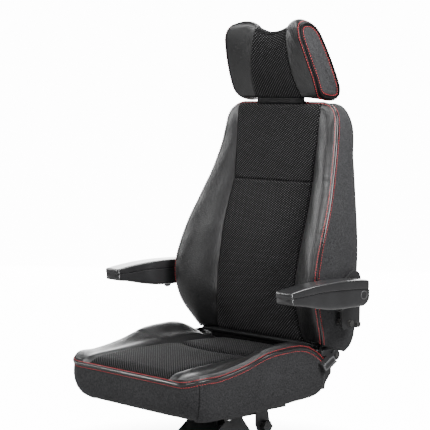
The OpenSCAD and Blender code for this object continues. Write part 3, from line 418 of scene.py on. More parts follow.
def half_width(y):
    """Half width of the cushion at y, with rounded corners front and rear."""
    def draw_in(d, r):
        """How far a corner of radius r is drawn in at distance d from its end."""
        return np.where(d >= r, 0.0, r - np.sqrt(np.clip(r * r - (r - np.clip(d, 0, r)) ** 2, 0, None)))
    return cushion_half - draw_in(y - cushion_front, corner_r) - draw_in(cushion_rear - y, rear_corner_r)


def side_bolster(side, hand):
    """Rows across the bolster, each a smooth curve through six heights from the panel over the
    crest to the piping. Rows crowd round the front corner. The dart is a narrow groove with a
    swell and a few fine folds behind it."""
    corner = cushion_front + corner_r * (1 - np.cos(spaced(0, 14, math.pi / 2)))
    y = np.concatenate([corner, spaced(cushion_front + corner_r + 5, 70, pads_end - 6, 5, pads_end)])
    u = spaced(0, 6, 0.1, 26, 0.9, 6, 1)
    weights = through(u, [0, 0.10, 0.42, 0.80, 0.93, 1], np.eye(6))
    edge, crest = through(y, edge_y, edge_z), through(y, edge_y, crest_z)
    low = panel_height(panel_x, y)
    heights = np.stack([low - 3, low + 3.5 + (crest - low) * 0.10, low + (crest - low) * 0.55, crest,
                        edge + (crest - edge) * 0.7 + 1.0, edge])
    x = panel_x + 0.4 + u[None, :] * (half_width(y)[:, None] - panel_x - 0.4)
    row = np.repeat(y[:, None], len(u), 1)
    across = (x - panel_x) / (cushion_half - panel_x)
    behind = row - dart_y + dart_slant * across
    groove = np.exp(-(behind / 3.2) ** 2) * np.clip(1.15 - across, 0, 1)
    lobe = np.exp(-np.clip(behind, 0, None) / 70) * (behind > 0) * np.sin(math.pi * np.clip(across, 0, 1))
    folds = np.sin(row / 9 + 5 * across) * np.exp(-((behind - 25) / 30) ** 2) * np.sin(math.pi * across)
    z = (weights @ heights).T - 3.2 * groove + 2.8 * lobe + 0.5 * folds - 5 * fading(pads_end - row, 8)
    front = np.stack([x * side, row, z], -1)
    back = np.stack([x * side, row, np.full_like(z, foam_top)], -1)
    return dress(slab(f"cushion_bolster_{hand}", front, back), black_leather, "seat",
                 [f"seat_bolster_{hand}"])


for side, hand in hands:
    side_bolster(side, hand)

# ---- cushion: boxing, piped edge and top-stitching ------------------------
# The side wall is one band of smooth grey cloth that turns under at its lower edge. Between
# it and the top runs a leather edge with a piping bead, and a row of red thread on each side.


def twill(place):
    """Smooth dark grey cloth: a very fine diagonal twill, slightly cloudy."""
    weave = (place.part("X") + place.part("Y") + place.part("Z") * 1.3) * 620.0
    cloud = place.noise(11.0, 4.0)
    fleck = (place.noise(300.0, 3.0, 0.7) - 0.5) * 4.5 + 0.5
    shade = cloud * 0.3 + fleck * 0.6 + weave.wave() * 0.1
    return {"Base Color": shade.tint((0.006, 0.006, 0.0064), (0.040, 0.040, 0.042)),
            "Roughness": 0.8 + fleck * 0.12, "Normal": (weave.wave() * 0.6 + fleck).bump(0.0003, 0.5)}


def spun_thread(place):
    """Red polyester thread: a twist along it and a soft shine."""
    twist = ((place.part("X") + place.part("Y") * 1.1 + place.part("Z") * 0.9) * 1400.0).wave()
    return {"Base Color": twist.tint((0.26, 0.012, 0.015), (0.58, 0.042, 0.050)),
            "Roughness": 0.45 + twist * 0.1}


side_cloth = finish("side_cloth", twill, Specular_IOR_Level=0.15, Sheen_Weight=0.04, Sheen_Roughness=0.45)
red_thread = finish("red_thread", spun_thread)
piping_leather = finish("piping_leather", leather, Specular_IOR_Level=0.12, Coat_Weight=1.0,
                        Coat_Roughness=0.07)
stitch_pitch, stitch_length, stitch_thick = 6.8, 5.0, 0.8


def unit(v):
    """Directions of length 1."""
    return v / np.maximum(np.linalg.norm(v, axis=-1, keepdims=True), 1e-9)


def facing(direction, points, centre):
    """Directions at points, turned where needed so that they point away from a centre."""
    return direction * np.sign((direction * (points - centre)).sum(-1, keepdims=True))


def both_halves(half):
    """A row of points on one side that ends at x = 0, and its mirror image after it."""
    return np.concatenate([half, (half * [-1, 1, 1])[-2::-1]])


def along(path, closed=False):
    """Direction of a path at each of its points."""
    if closed:
        return unit(np.roll(path, -1, 0) - np.roll(path, 1, 0))
    return unit(np.gradient(path, axis=0))


def fan(middle, row):
    """Kites from a middle point to each second point of a closed row of even count."""
    return quads(np.full(len(row) // 2, middle), np.roll(row, -1)[::2], row[::2], np.roll(row, 1)[::2])


def skinned(name, rings, first=None, last=None):
    """Closed piece through a stack of closed rings, each end fanned to a middle point."""
    first = rings[0].mean(0) if first is None else first
    last = rings[-1].mean(0) if last is None else last
    k = np.arange(rings.size // 3).reshape(rings.shape[:2])
    right = np.roll(k, -1, 1)
    faces = np.concatenate([quads(k[:-1], right[:-1], right[1:], k[1:]), fan(k.size, k[0]),
                            fan(k.size + 1, k[-1])[:, ::-1]])
    return solid(name, np.concatenate([rings.reshape(-1, 3), [first, last]]), faces)


def hoop(name, rings):
    """Closed piece through a stack of closed rings whose last joins its first."""
    k = np.arange(rings.size // 3).reshape(rings.shape[:2])
    right = np.roll(k, -1, 1)
    return solid(name, rings, quads(k, right, np.roll(right, -1, 0), np.roll(k, -1, 0)))


def tube(name, path, out, radius, closed=False, sides=10):
    """Round cord along a path: a circle carried square to the path, set by the direction out.
    An open cord is closed by a small dome at either end."""
    go = along(path, closed)
    a = unit(out - (out * go).sum(-1, keepdims=True) * go)
    b = np.cross(go, a)
    size = np.ones(len(path))
    if not closed:
        tip = radius * np.array([0.9, 0.6])[:, None]
        path = np.concatenate([path[:1] - go[:1] * tip, path, path[-1:] + go[-1:] * tip[::-1]])
        a, b = (np.concatenate([d[:1], d[:1], d, d[-1:], d[-1:]]) for d in (a, b))
        size = np.concatenate([[0.25, 0.8], size, [0.8, 0.25]])
    turn = np.arange(sides)[:, None] * math.tau / sides
    circle = np.cos(turn) * a[:, None] + np.sin(turn) * b[:, None]
    rings = path[:, None] + radius * size[:, None, None] * circle
    return hoop(name, rings) if closed else skinned(name, rings, path[0], path[-1])


def stitch_row(name, path, out, body, closed=False):
    """Row of stitches at equal steps along a path: each is a small spindle of thread whose ends
    dive into the cover. out points away from the cover."""
    if closed:
        path, out = np.concatenate([path, path[:1]]), np.concatenate([out, out[:1]])
    run = np.concatenate([[0], np.cumsum(np.linalg.norm(np.diff(path, axis=0), axis=1))])
    count = int(round(run[-1] / stitch_pitch))
    at = (np.arange(count) + 0.5) * run[-1] / count
    middle, up = (np.stack([np.interp(at, run, v[:, i]) for i in range(3)], -1) for v in (path, out))
    go = along(middle, closed)
    up = unit(up - (up * go).sum(-1, keepdims=True) * go)
    side = np.cross(go, up)
    turn = np.arange(6) * math.tau / 6
    reach = np.array([-0.5, -0.34, 0, 0.34, 0.5]) * stitch_length
    fat = np.array([0.35, 0.85, 1, 0.85, 0.35])[:, None] * stitch_thick
    sink = np.array([-0.9, -0.1, 0.25, -0.1, -0.9])[:, None] * stitch_thick
    points = (middle[:, None, None] + reach[:, None, None] * go[:, None, None]
              + (sink + fat * np.cos(turn))[..., None] * up[:, None, None]
              + (fat * np.sin(turn))[..., None] * side[:, None, None])
    k = np.arange(30).reshape(5, 6)
    right = np.roll(k, -1, 1)
    ends = np.array([[0, 1, 2, 3], [0, 3, 4, 5], [27, 26, 25, 24], [29, 28, 27, 24]])
    one = np.concatenate([quads(k[:-1], k[1:], right[1:], right[:-1]), ends])
    faces = (np.arange(count)[:, None, None] * 30 + one[None]).reshape(-1, 4)
    return dress(solid(name, points, faces), red_thread, body)


corner_rows = cushion_front + corner_r * (1 - np.cos(spaced(0, 16, math.pi / 2)))
side_rows = np.concatenate([corner_rows, spaced(cushion_front + corner_r + 6, 66, pads_end)])
half_loop = np.stack([half_width(side_rows), side_rows, through(side_rows, edge_y, edge_z)], -1)
front_x = spaced(190, 60, 0)
front_start, front_middle = half_loop[0, 2], panel_z[0] + 1.5
front_z = front_start + (front_middle - front_start) * np.clip((190 - front_x) / 60, 0, 1)
front_run = np.stack([front_x, np.full(61, cushion_front), front_z], -1)
half_loop = np.concatenate([half_loop[::-1], front_run])
whole_loop = both_halves(half_loop)
loop_run = along(whole_loop)
loop_out = unit(np.stack([loop_run[:, 1], -loop_run[:, 0], 0 * loop_run[:, 0]], -1))
loop_out = facing(loop_out, whole_loop, [0, -50, 0])
down = np.array([0.0, 0.0, -1.0])


def edge_strip(name, loop, out, fall, width, bulge, body):
    """Leather edge: a strip from the loop along fall, slightly rounded outwards, 5 mm thick."""
    t = spaced(0, 10, 1)[None, :, None]
    fall, out = np.broadcast_to(fall, loop.shape)[:, None], out[:, None]
    front = loop[:, None] + t * width * fall + bulge * np.sin(math.pi * t) * out
    back = loop[:, None] + (0.08 + 0.84 * t) * width * fall - 5 * out
    return dress(slab(name, front, back), black_leather, body)


edge_strip("cushion_edge", whole_loop, loop_out, down, 12.5, 1.2, "seat")
bead_out = 1.6 - 2.6 * np.clip((whole_loop[:, 1:2] - 125) / 18, 0, 1)
bead_path = whole_loop + 5.8 * down + bead_out * loop_out
dress(tube("cushion_piping", bead_path, loop_out, 2.3), piping_leather, "seat")
stitch_row("cushion_stitching_upper", whole_loop + 0.4 * loop_out - 0.3 * down,
           unit(loop_out - 0.6 * down), "seat")
stitch_row("cushion_stitching_lower", whole_loop + 13.2 * down + 0.9 * loop_out, loop_out, "seat")

hem_y = [-283, -259, -143, -31, 85, 159, 188]
hem_z = [178, 172, 167, 168, 175, 183, 195]
pan_z, lid_z = 164.0, 261.5  # where the boxing meets the pan, and its lid under the covers
seat_middle = np.array([0.0, -50.0])


def boxing():
    """Closed wall round the cushion: rings from its flat lid, over the wall and in under it to the
    pan. Below the leather edge the wall swells a little and turns under on a soft radius, and it
    is drawn in at the lower front corners. Returned with it are the path of the seam down the
    front left corner and the direction away from it."""
    rear_rows = spaced(pads_end + 2, 2, cushion_rear - rear_corner_r * 0.2, 4, cushion_rear - 0.1)
    rear_x = spaced(float(half_width(np.array(cushion_rear))) - 1, 40, 0)
    rear_run = np.stack([rear_x, np.full(41, cushion_rear)], -1)
    half = np.concatenate([rear_run[::-1], np.stack([half_width(rear_rows), rear_rows], -1)[::-1],
                           half_loop[:, :2]])
    ring = np.concatenate([half, (half * [-1, 1])[-2:0:-1]])
    top = through(ring[:, 1], edge_y, edge_z) - 11.5
    at_front = (np.abs(ring[:, 0]) < 192) & (ring[:, 1] < cushion_front + 1)
    top = np.where(at_front, panel_z[0] - 10, top)
    top = np.minimum(top, np.where(ring[:, 1] > 180, 262, 400))
    hem = through(ring[:, 1], hem_y, hem_z)
    go = unit(np.roll(ring, -1, 0) - np.roll(ring, 1, 0))
    out = facing(np.stack([go[:, 1], -go[:, 0]], -1), ring, seat_middle)
    push = np.array([0.4, 0.8, 1.6, 2.4, 2.2, 0.6, -2.4, -7.5, -15, -25, -38])[:, None]
    tuck = np.array([0, 0, 0, 0.5, 2.5, 7, 11.5, 15, 17, 18, 18])[:, None]
    fall = np.array([0, 0.07, 0.17, 0.33, 0.50, 0.68, 0.80, 0.90, 0.96, 0.99, 1.0])[:, None]
    to_corner = np.hypot(np.abs(ring[:, 0]) - 232, ring[:, 1] + 270)
    wall = ring + (push - tuck * np.exp(-(to_corner / 50) ** 2))[..., None] * out
    wall = np.concatenate([wall, (top + (hem - top) * fall)[..., None]], -1)
    centre = np.clip(ring * [0.55, 0.7] + [0, -12], [-140, -205], [140, 180])
    flat = np.zeros(len(ring))
    rings = np.stack([np.column_stack([centre, flat + lid_z]),
                      np.column_stack([ring - out * 22, flat + lid_z]),
                      np.column_stack([ring - out * 8, np.minimum(top, 262)]),
                      *wall, np.column_stack([centre, flat + pan_z])])
    corner = np.argmin(np.hypot(ring[:, 0] - 238, ring[:, 1] + 257))
    piece = skinned("cushion_boxing", rings, [0, -10, lid_z], [0, -10, pan_z])
    return piece, wall[:9, corner], out[corner]


boxed, seam_path, seam_out = boxing()
dress(boxed, side_cloth, "seat", ["seat_foam"])
seam_path = through(spaced(0, 40, 8), np.arange(9), seam_path)
for side, hand in hands:
    seam_side = np.tile([side * seam_out[0], seam_out[1], 0.0], (41, 1))
    dress(tube(f"cushion_corner_seam_{hand}", seam_path * [side, 1, 1], seam_side, 0.9, sides=8),
          dull_leather, "seat")

# ---- recliner, rod, lever and grip ----------------------------------------
# Pressed steel plates with the two round recliners between them. The rod joins both and
# carries the lever, whose black plastic grip is pushed on.

coat(black_steel, "recliner_bracket_left", "recliner_bracket_right", "recliner_arm_left",
     "recliner_arm_right", "recline_lever", "back_frame")
coat(black_bolts, "recliner_rod")
coat(black_plastic, "recline_grip")


def squared(wave, softness):
    """Cosine or sine raised to a power with its sign kept: a circle becomes a rounded square."""
    return np.sign(wave) * np.abs(wave) ** softness


def rounded_bar(name, centre, direction, length, width, thick, material, body):
    """Flat bar with rounded corners on a plane of constant x: rings from its rim to its middle."""
    turn = (np.arange(48) + 0.5) * math.tau / 48
    go = np.array([0.0, *unit(np.array(direction, float))])
    side = np.cross([1.0, 0.0, 0.0], go)
    draw = np.array([0.0, 0.0, 0.7, 1.4])[:, None]
    out = np.array([-thick, -0.8, -0.15, 0.0])
    a = squared(np.cos(turn), 0.35) * (length / 2 - draw)
    b = squared(np.sin(turn), 0.35) * (width / 2 - draw)
    rings = np.array(centre) + a[..., None] * go + b[..., None] * side + out[:, None, None] * [1, 0, 0]
    return dress(skinned(name, rings), material, body)


def satin_trim(place):
    """Grey plastic trim with a silky face, rubbed brighter in places."""
    cloud = place.noise(40.0, 4.0)
    return {"Base Color": cloud.tint((0.05, 0.05, 0.052), (0.09, 0.09, 0.093)),
            "Roughness": 0.28 + cloud * 0.15, "Normal": place.noise(800.0).bump(0.0001, 0.3)}


grey_trim = finish("grey_trim", satin_trim, Specular_IOR_Level=0.6)
lever_end, lever_run = np.array([208.0, 288.0]), np.array([-0.867, -0.498])
grip_middle = lever_end + 35 * lever_run
rounded_bar("recline_grip_inlay", (262.5, *grip_middle), lever_run, 46, 21, 0.9, grey_trim, "lever")
rounded_bar("recline_grip_pad", (263.1, *grip_middle), lever_run, 37, 13, 1.2, black_plastic, "lever")
for side, hand in hands:
    rounded_bar(f"recliner_cover_{hand}", (side * 246.6, 183.5, 295.5), (1, 0.05), 40, 15, 1.6 * side,
                black_plastic, "seat")

# ---- back: woven centre panels --------------------------------------------
# The same spacer mesh over foam, dished for the occupant, in a tall lower panel and a short
# upper one. It is drawn in at the bolsters and at the seam between the two.

back_mesh = finish("back_mesh", diagonal_mesh(math.radians(44), 0.0062, 0.0052), "UV",
                   Specular_IOR_Level=0.15, Sheen_Weight=0.05, Sheen_Roughness=0.4)
back_seam_z = 728.0
back_foot, back_top = 316.0, 934.0
panel_edge = np.array([  # height, half width and depth along the panel's edge
    (316, 163, 180), (333, 162, 174), (345, 159, 172), (385, 155, 166), (425, 148, 162), (465, 148, 164),
    (505, 149, 170), (545, 150, 178), (585, 152, 186), (625, 153, 197), (665, 152, 209), (705, 149, 221),
    (745, 148, 230), (785, 149, 234), (825, 151, 239), (865, 152, 243), (905, 154, 247), (917, 154, 248.5),
    (926, 154, 251), (931, 154, 256), (934, 154, 262)])


def edge_at(z, stations):
    """x and y of an edge at heights z, from stations that give z, x and y."""
    return through(z, stations[:, 0], stations[:, 1:]).T


def foam_plane(z):
    """The foam rests on a plane that leans back with height."""
    return 204.4 + 70 * (z - back_foot) / 616


def back_panel(name, z0, z1, node):
    """Panel between two heights: bowed forwards across, drawn in along both sides, at the seam
    between the two panels and at the foot."""
    u = spaced(-1, 5, -0.94, 40, 0.94, 5, 1)
    z = spaced(z0, 6, z0 + 8, int((z1 - z0) / 6), z1 - 8, 8, z1)
    row = np.repeat(z[:, None], len(u), 1)
    edge_x, edge_depth = edge_at(z, panel_edge)[..., None]
    x = u * edge_x
    y = edge_depth - 3.5 * (1 - u ** 2) + 5 * fading(1 - np.abs(u), 1 / 16)
    y = y + 4.5 * fading(np.abs(row - back_seam_z), 7) + 3.0 * fading(row - back_foot, 8)
    front = np.stack([x, y, row], -1)
    back = np.stack([x, np.maximum(foam_plane(row), y + 8), row], -1)
    cloth = np.stack([x, row], -1) * 0.001
    return dress(slab(name, front, back, cloth), back_mesh, "back", [node])


back_panel("back_panel_lower", back_foot + 0.5, back_seam_z - 0.6, "back_pad_lower")
back_panel("back_panel_upper", back_seam_z + 0.6, back_top - 1.5, "back_pad_upper")

# ---- back: leather bolsters -----------------------------------------------
# One fat roll of leatherette over foam on either side, widest at the occupant's ribs and
# thin at the shoulders. The cover puckers a little along its outer seam.

outer_seam = np.array([  # height, half width and depth along the seam with the leather edge
    (315, 230, 175), (345, 243, 157), (385, 257, 134), (425, 263, 120), (465, 265, 115), (505, 265, 118),
    (545, 262, 129), (585, 258, 144), (625, 253, 162), (665, 245, 182), (705, 236, 200), (745, 226, 217),
    (785, 218, 231), (825, 211, 243), (865, 206, 251), (905, 198, 258), (915, 192, 260), (924, 181, 262),
    (930.5, 167, 263.5), (934, 149, 264)])


def bezier(t, a, b, c, d):
    """Cubic curve from a to d, drawn towards b and then c."""
    return a * (1 - t) ** 3 + 3 * b * t * (1 - t) ** 2 + 3 * c * t * t * (1 - t) + d * t ** 3


def back_bolster(side, hand):
    """Each row is one cubic Bezier from the panel's edge to the outer seam, bowed forwards. Fine
    gathers stand along the seam, closest at the shoulder, and soft folds lie across the middle."""
    z = np.concatenate([spaced(316.5, 5, 324, 96, 900), 900 + 33.5 * np.sin(spaced(0, 14, math.pi / 2))[1:]])
    z = z[:, None]
    t = spaced(0, 5, 0.06, 30, 0.94, 5, 1)[None, :]
    xe, ye = edge_at(z[:, 0], panel_edge)[..., None]
    xo, yo = edge_at(z[:, 0], outer_seam)[..., None]
    xe = xe + 0.4
    xo = np.maximum(xo, xe + 2)
    width, depth = xo - xe, ye - yo
    full = np.clip((back_top - z) / 60, 0.15, 1) * np.clip(0.5 + width / 160, 0, 1)
    x = bezier(t, xe, xe + 0.26 * width, xo - np.minimum(16, 0.30 * width + 2) * full, xo)
    y = bezier(t, ye + 3, ye - 0.62 * depth - 9 * full, yo - 21 * full, yo)
    row = z + 0 * t
    outer = np.clip((t - 0.5) / 0.4, 0, 1) ** 2 * np.clip((1.0 - t) * 12, 0, 1)
    gather = np.sin(row / 2.6 + 3 * t + 2 * np.sin(row / 21)) + 0.7 * np.sin(row / 5.3 + 1.7)
    tight = 0.15 + np.exp(-((row - 735) / 55) ** 2) + 0.4 * np.exp(-((row - 560) / 60) ** 2)
    middle = np.sin(math.pi * t)
    y = y + 0.7 * outer * gather * tight + 0.7 * np.sin(row / 17 + 6 * t) * middle ** 2
    y = y + 6 * fading(row - back_foot, 9) * middle ** 0.5
    front = np.stack([x * side, y, row], -1)
    back = np.stack([np.minimum(x, xo - 18) * side, np.maximum(foam_plane(row), y + 2), row], -1)
    return dress(slab(f"back_bolster_cover_{hand}", front, back), black_leather, "back",
                 [f"back_bolster_{hand}"])


for side, hand in hands:
    back_bolster(side, hand)

# ---- back: boxing, piped edge, rear shell and crease roll ------------------
# Grey cloth runs up one side, over the top and down the other, from a leather edge with a
# glossy piping bead to the moulded rear shell. A leather roll with a flap behind it closes
# the gap over the cushion.

rear_edge = np.array([  # height, half width and depth along the seam with the shell
    (284, 224, 281), (292, 228, 289), (318, 236, 299), (345, 240, 301), (386, 243, 300), (465, 249, 298),
    (545, 250, 300), (625, 244, 303), (705, 232, 309), (785, 217, 316), (905, 196, 319), (915, 188, 319),
    (924, 177, 319), (930.5, 164, 319), (934, 149, 319)])
top_half = 149.0  # half width of the flat top, between the rounded corners

rise = np.concatenate([spaced(315, 110, 905), 905 + 29 * np.sin(spaced(0, 18, math.pi / 2))[1:]])
low = np.where(rise < 345, 345 - (345 - rise) * 2.03, rise)
over = spaced(top_half, 40, 0)[1:]
crown = 1 - over / top_half
front_half = np.concatenate([np.column_stack([*edge_at(rise, outer_seam), rise]),
                             np.column_stack([over, 264 + 0.5 * crown, back_top + crown])])
rear_half = np.concatenate([np.column_stack([*edge_at(low, rear_edge), low]),
                            np.column_stack([over, 0 * over + 319, 0 * over + back_top])])
front_loop, rear_loop = both_halves(front_half), both_halves(rear_half)
backward = unit(rear_loop - front_loop)
back_out = unit(facing(np.cross(along(front_loop), backward), front_loop, [0, 200, 620]))

edge_strip("back_edge", front_loop, back_out, backward, 15.0, 1.6, "back")
back_bead = front_loop + 7.2 * backward + 2.2 * back_out
dress(tube("back_piping", back_bead, back_out, 2.5), piping_leather, "back")
stitch_row("back_stitching_front", front_loop + 0.6 * back_out - 0.3 * backward,
           unit(back_out - 0.7 * backward), "back")
stitch_row("back_stitching_rear", front_loop + 15.6 * backward + 0.8 * back_out, back_out, "back")


def back_boxing():
    """Band from the leather edge to the shell: it swells along its middle, waves a little and
    sinks at the shell. Its lining lies 9 mm in."""
    span = np.linalg.norm(rear_loop - front_loop, axis=-1)[:, None]
    start = 14.5 / span
    across = start + (1 - start) * spaced(0, 3, 0.05, 18, 0.9, 6, 1)[None, :]
    flat = front_loop[:, None] + (across * span)[..., None] * backward[:, None]
    high = np.clip((front_loop[:, 2:] - 912) / 20, 0, 1)
    swell = (4.0 - 2.8 * high) * np.clip(np.sin(math.pi * (across - start) / (1 - start)), 0, 1) ** 0.8
    wave = 0.5 * np.sin(flat[..., 2] / 33 + 3 * across) * (across > start)
    proud = swell + wave - 5.5 * fading(1 - across, 0.07)
    outer = flat + proud[..., None] * back_out[:, None]
    lining = (np.clip(across, 0.02, 0.98) * span)[..., None] * backward[:, None]
    return slab("back_boxing", outer, front_loop[:, None] + lining - 9 * back_out[:, None])


dress(back_boxing(), side_cloth, "back",
      ["back_side_left", "back_side_right", "back_top_panel"])


def rear_shell():
    """Moulded shell: rows across the rear, bowed out by a half cosine, rolled forward at the rim,
    with a low rib down either side."""
    z = np.concatenate([spaced(284, 4, 292, 60, 905), 905 + 28 * np.sin(spaced(0, 12, math.pi / 2))[1:]])
    u = spaced(-1, 6, -0.94, 30, 0.94, 6, 1)
    edge_x, edge_depth = edge_at(z, rear_edge)[..., None]
    z = z[:, None]
    x = (edge_x - 4.5) * u
    rim = 3.0 * fading(1 - np.abs(u), 1 / 16) + 3.0 * np.clip((z - 924) / 9, 0, 1) ** 2
    ends = np.clip((z - 380) / 20, 0, 1) * np.clip((860 - z) / 20, 0, 1)
    rib = np.clip(1 - np.abs(np.abs(x) - 120) / 5, 0, 1) * ends
    y = edge_depth + 5.2 * np.cos(u * math.pi / 2) - rim + 1.6 * rib * rib * (3 - 2 * rib)
    outer = np.stack([x, y, z + 0 * x], -1)
    return slab("back_shell", outer, outer - [0, 3.2, 0], crease=40)


dress(rear_shell(), black_plastic, "back", ["back_rear_cover"])

flap_x, flap_z = np.meshgrid(spaced(-188, 60, 188), spaced(272, 24, 318))
flap_y = 186 - 2 * np.sin((flap_z - 272) / 46 * math.pi) + 0.8 * np.sin(flap_x / 23)
flap = np.stack([flap_x, flap_y, flap_z], -1)
dress(slab("back_crease_flap", flap, flap + [0, 1.6, 0]), dull_leather, "back")
crease = np.column_stack([spaced(-213, 90, 213), np.full(91, 178.0), np.full(91, 309.0)])
dress(tube("back_crease_roll", crease, np.tile([0.0, -1.0, 0.3], (91, 1)), 6.7, sides=20),
      dull_leather, "back", ["back_roll"])

# ---- headrest: sleeves, posts and neck ------------------------------------
# Blackened steel posts slide in plastic sleeves. A leather bridge hides them, hollowed on
# top so that the headrest can nod over it.

coat(black_bolts, "headrest_posts")
coat(black_plastic, "headrest_guides", "headrest_board")
hinge = np.array([291.6, 1003.8])  # y and z of the axis on which the headrest nods
neck_half, neck_depth, neck_y, neck_foot = 88.0, 24.0, 274.5, 933.8
sweep_r = 68.2  # the neck stays outside this radius about the hinge, the headrest inside it


def neck():
    """Closed rings up the bridge: a rounded rectangle in plan whose top dips on the arc that
    the headrest sweeps."""
    turn = np.arange(64) * math.tau / 64
    x = neck_half * squared(np.cos(turn), 0.16)
    y = neck_y + neck_depth * squared(np.sin(turn), 0.4)
    top = np.minimum(949.0, hinge[1] - np.sqrt(np.maximum(sweep_r ** 2 - (y - hinge[0]) ** 2, 0)))
    t = np.array([0, 0.08, 0.3, 0.6, 0.85, 0.95, 1.0])[:, None]
    draw = np.array([0.8, 0, 0.6, 0.6, 0.2, 0.9, 2.4])[:, None]
    rings = np.stack([x * (1 - draw / neck_half), neck_y + (y - neck_y) * (1 - draw / neck_depth),
                      neck_foot + (top - neck_foot) * t], -1)
    return skinned("neck_sleeve", rings, [0, neck_y, neck_foot], [0, 280.0, hinge[1] - sweep_r + 0.6])


dress(neck(), dull_leather, "headrest_slide", ["neck_cover"])

# ---- headrest: woven centre, leather wings and end panels -----------------
# Foam block with a mesh centre. The wings swell forward and up into two horns, and each ends
# in a domed panel of grey cloth behind a piped and top-stitched leather edge.

mid_ring = np.array([[257, 950], [246, 962], [233, 986], [222, 1015], [215, 1048], [213, 1076], [214, 1095],
                     [219, 1111], [230, 1121], [244, 1119], [256, 1104], [282, 1053], [312, 995], [322, 972],
                     [314, 955], [300, 950]], float)
end_ring = np.array([[260, 947], [238, 964], [221, 1002], [206, 1040], [191, 1085], [185, 1111], [189, 1133],
                     [204, 1146], [228, 1149], [250, 1140], [267, 1120], [289, 1069], [311, 1013], [326, 972],
                     [324, 949], [299, 941]], float)


def ring_through(ring, count):
    """A closed smooth curve through a ring of stations, count points from its first one."""
    again = np.concatenate([ring[-3:], ring, ring[:4]])
    at = np.arange(count) * len(ring) / count
    return through(at + 3, np.arange(len(again)), again)


ring_points = 96
mid_curve, end_curve = ring_through(mid_ring, ring_points), ring_through(end_ring, ring_points)


def seam_half(z):
    """Half width of the mesh centre at height z."""
    return 82 - 0.15 * (z - 975)


def end_half(z):
    """Half width of the headrest, to the ends of its wings, at height z."""
    return through(z, [945, 965, 995, 1035, 1075, 1095, 1115, 1135, 1152],
                   [145, 153, 155, 151, 145, 141, 137, 131, 124])


def head_section(w):
    """Ring of the headrest at w, from 0 at the seam to 1 at the wing's end."""
    w = np.asarray(w, float)[..., None]
    y = mid_curve[:, 0] + (end_curve[:, 0] - mid_curve[:, 0]) * w ** 1.35
    z = mid_curve[:, 1] + (end_curve[:, 1] - mid_curve[:, 1]) * w
    crown = np.clip((z - 1060) / 60, 0, 1) ** 1.5
    z = z + crown * (19 * (1 - w) ** 2 + 15 * np.clip(4 * w * (1 - w), 0, 1) ** 0.9)
    x = seam_half(z) + (end_half(z) - seam_half(z)) * w
    return np.stack([x, y, z], -1)


def wing(side, hand):
    """Rings from the seam with the centre out to the end, drawn in at the seam, with soft folds
    over the front."""
    w = spaced(0, 5, 0.06, 26, 0.94, 6, 1)
    rings = head_section(w)
    w = w[:, None]
    centre = rings.mean(1, keepdims=True)
    rings = rings + unit(centre - rings) * [0, 1, 1] * 2.6 * fading(w, 0.06)[..., None]
    folds = 0.5 * np.sin(rings[..., 2] / 9 + 9 * w) * np.sin(math.pi * w) ** 2
    rings[..., 1] += folds * (rings[..., 1] < centre[..., 1])
    return dress(skinned(f"headrest_wing_cover_{hand}", rings * [side, 1, 1]), black_leather, "headrest",
                 [f"headrest_wing_{hand}"])


def head_centre():
    """The mesh centre: a grid over the front, the top and a little way down the rear, closed
    behind by a hollow for the posts and their hinge. It rises to the wings at both sides."""
    u = spaced(-1, 4, -0.94, 28, 0.94, 4, 1)[None, :]
    over = mid_curve[: int(ring_points * 0.66)]
    over = over[(over[:, 1] > 952) | (over[:, 0] < 262)]
    y0, z0 = over[:, :1], over[:, 1:]
    x = (seam_half(z0) - 0.3) * u
    sink = 3.2 * (1 - u ** 2) * np.clip((z0 - 955) / 30, 0, 1) * np.clip((1125 - z0) / 30, 0, 1)
    sink = sink + 2.6 * fading(1 - np.abs(u), 1 / 16)
    inward = unit(np.array([270.0, 1040.0]) - over)
    y = y0 + sink * inward[:, :1]
    z = z0 + sink * inward[:, 1:] + np.clip((z0 - 1060) / 60, 0, 1) ** 1.5 * (3 + 16 * np.abs(u) ** 1.7)
    front = np.stack([x, y, z], -1)
    hollow = np.where(z0 > 1085, 251.0, np.minimum(251 + (1085 - z0) * 0.31, 276.5))
    hollow = np.maximum(hollow - 0.22 * np.clip(1000 - z0, 0, None), y0 + 3)
    behind = (np.arange(len(over)) > ring_points * 9 / 16)[:, None]
    back = np.stack([x, np.where(behind, y - 4, hollow), np.clip(z, 951.5, 1112 - 2 * (y > 240))], -1)
    run = np.concatenate([[0], np.cumsum(np.linalg.norm(np.diff(over, axis=0), axis=1))])
    cloth = np.stack([x, run[:, None] + 0 * x], -1) * 0.001
    return dress(slab("headrest_centre", front, back, cloth), back_mesh, "headrest",
                 ["headrest_pad"])


head_centre()
across = spaced(-1, 60, 1)
hem = np.column_stack([84 * across, np.full(61, 262.0), np.full(61, 951.5)])
dress(tube("headrest_hem", hem, np.tile([0.0, -1.0, 0.0], (61, 1)), 4.5, sides=14),
      dull_leather, "headrest")
saddle = np.column_stack([77 * across, np.full(61, 226.5), 1118.5 + 15 * np.abs(across) ** 1.7])
dress(tube("headrest_saddle_roll", saddle, np.tile([0.0, 0.0, 1.0], (61, 1)), 6.0, sides=14),
      dull_leather, "headrest")


def end_loop(inset, out):
    """The wing's end ring drawn in by a distance in its own plane and pushed outwards, and the
    direction away from its middle at each point."""
    ring = head_section(1.0)
    flat = ring[:, 1:]
    go = unit(np.roll(flat, -1, 0) - np.roll(flat, 1, 0))
    normal = np.stack([go[:, 1], -go[:, 0]], -1)
    normal = normal * np.sign((normal * (flat.mean(0) - flat)).sum())
    moved = flat + normal * inset
    x = end_half(moved[:, 1]) + out
    return np.concatenate([x[:, None], moved], -1), np.concatenate([np.zeros((len(ring), 1)), -normal], -1)


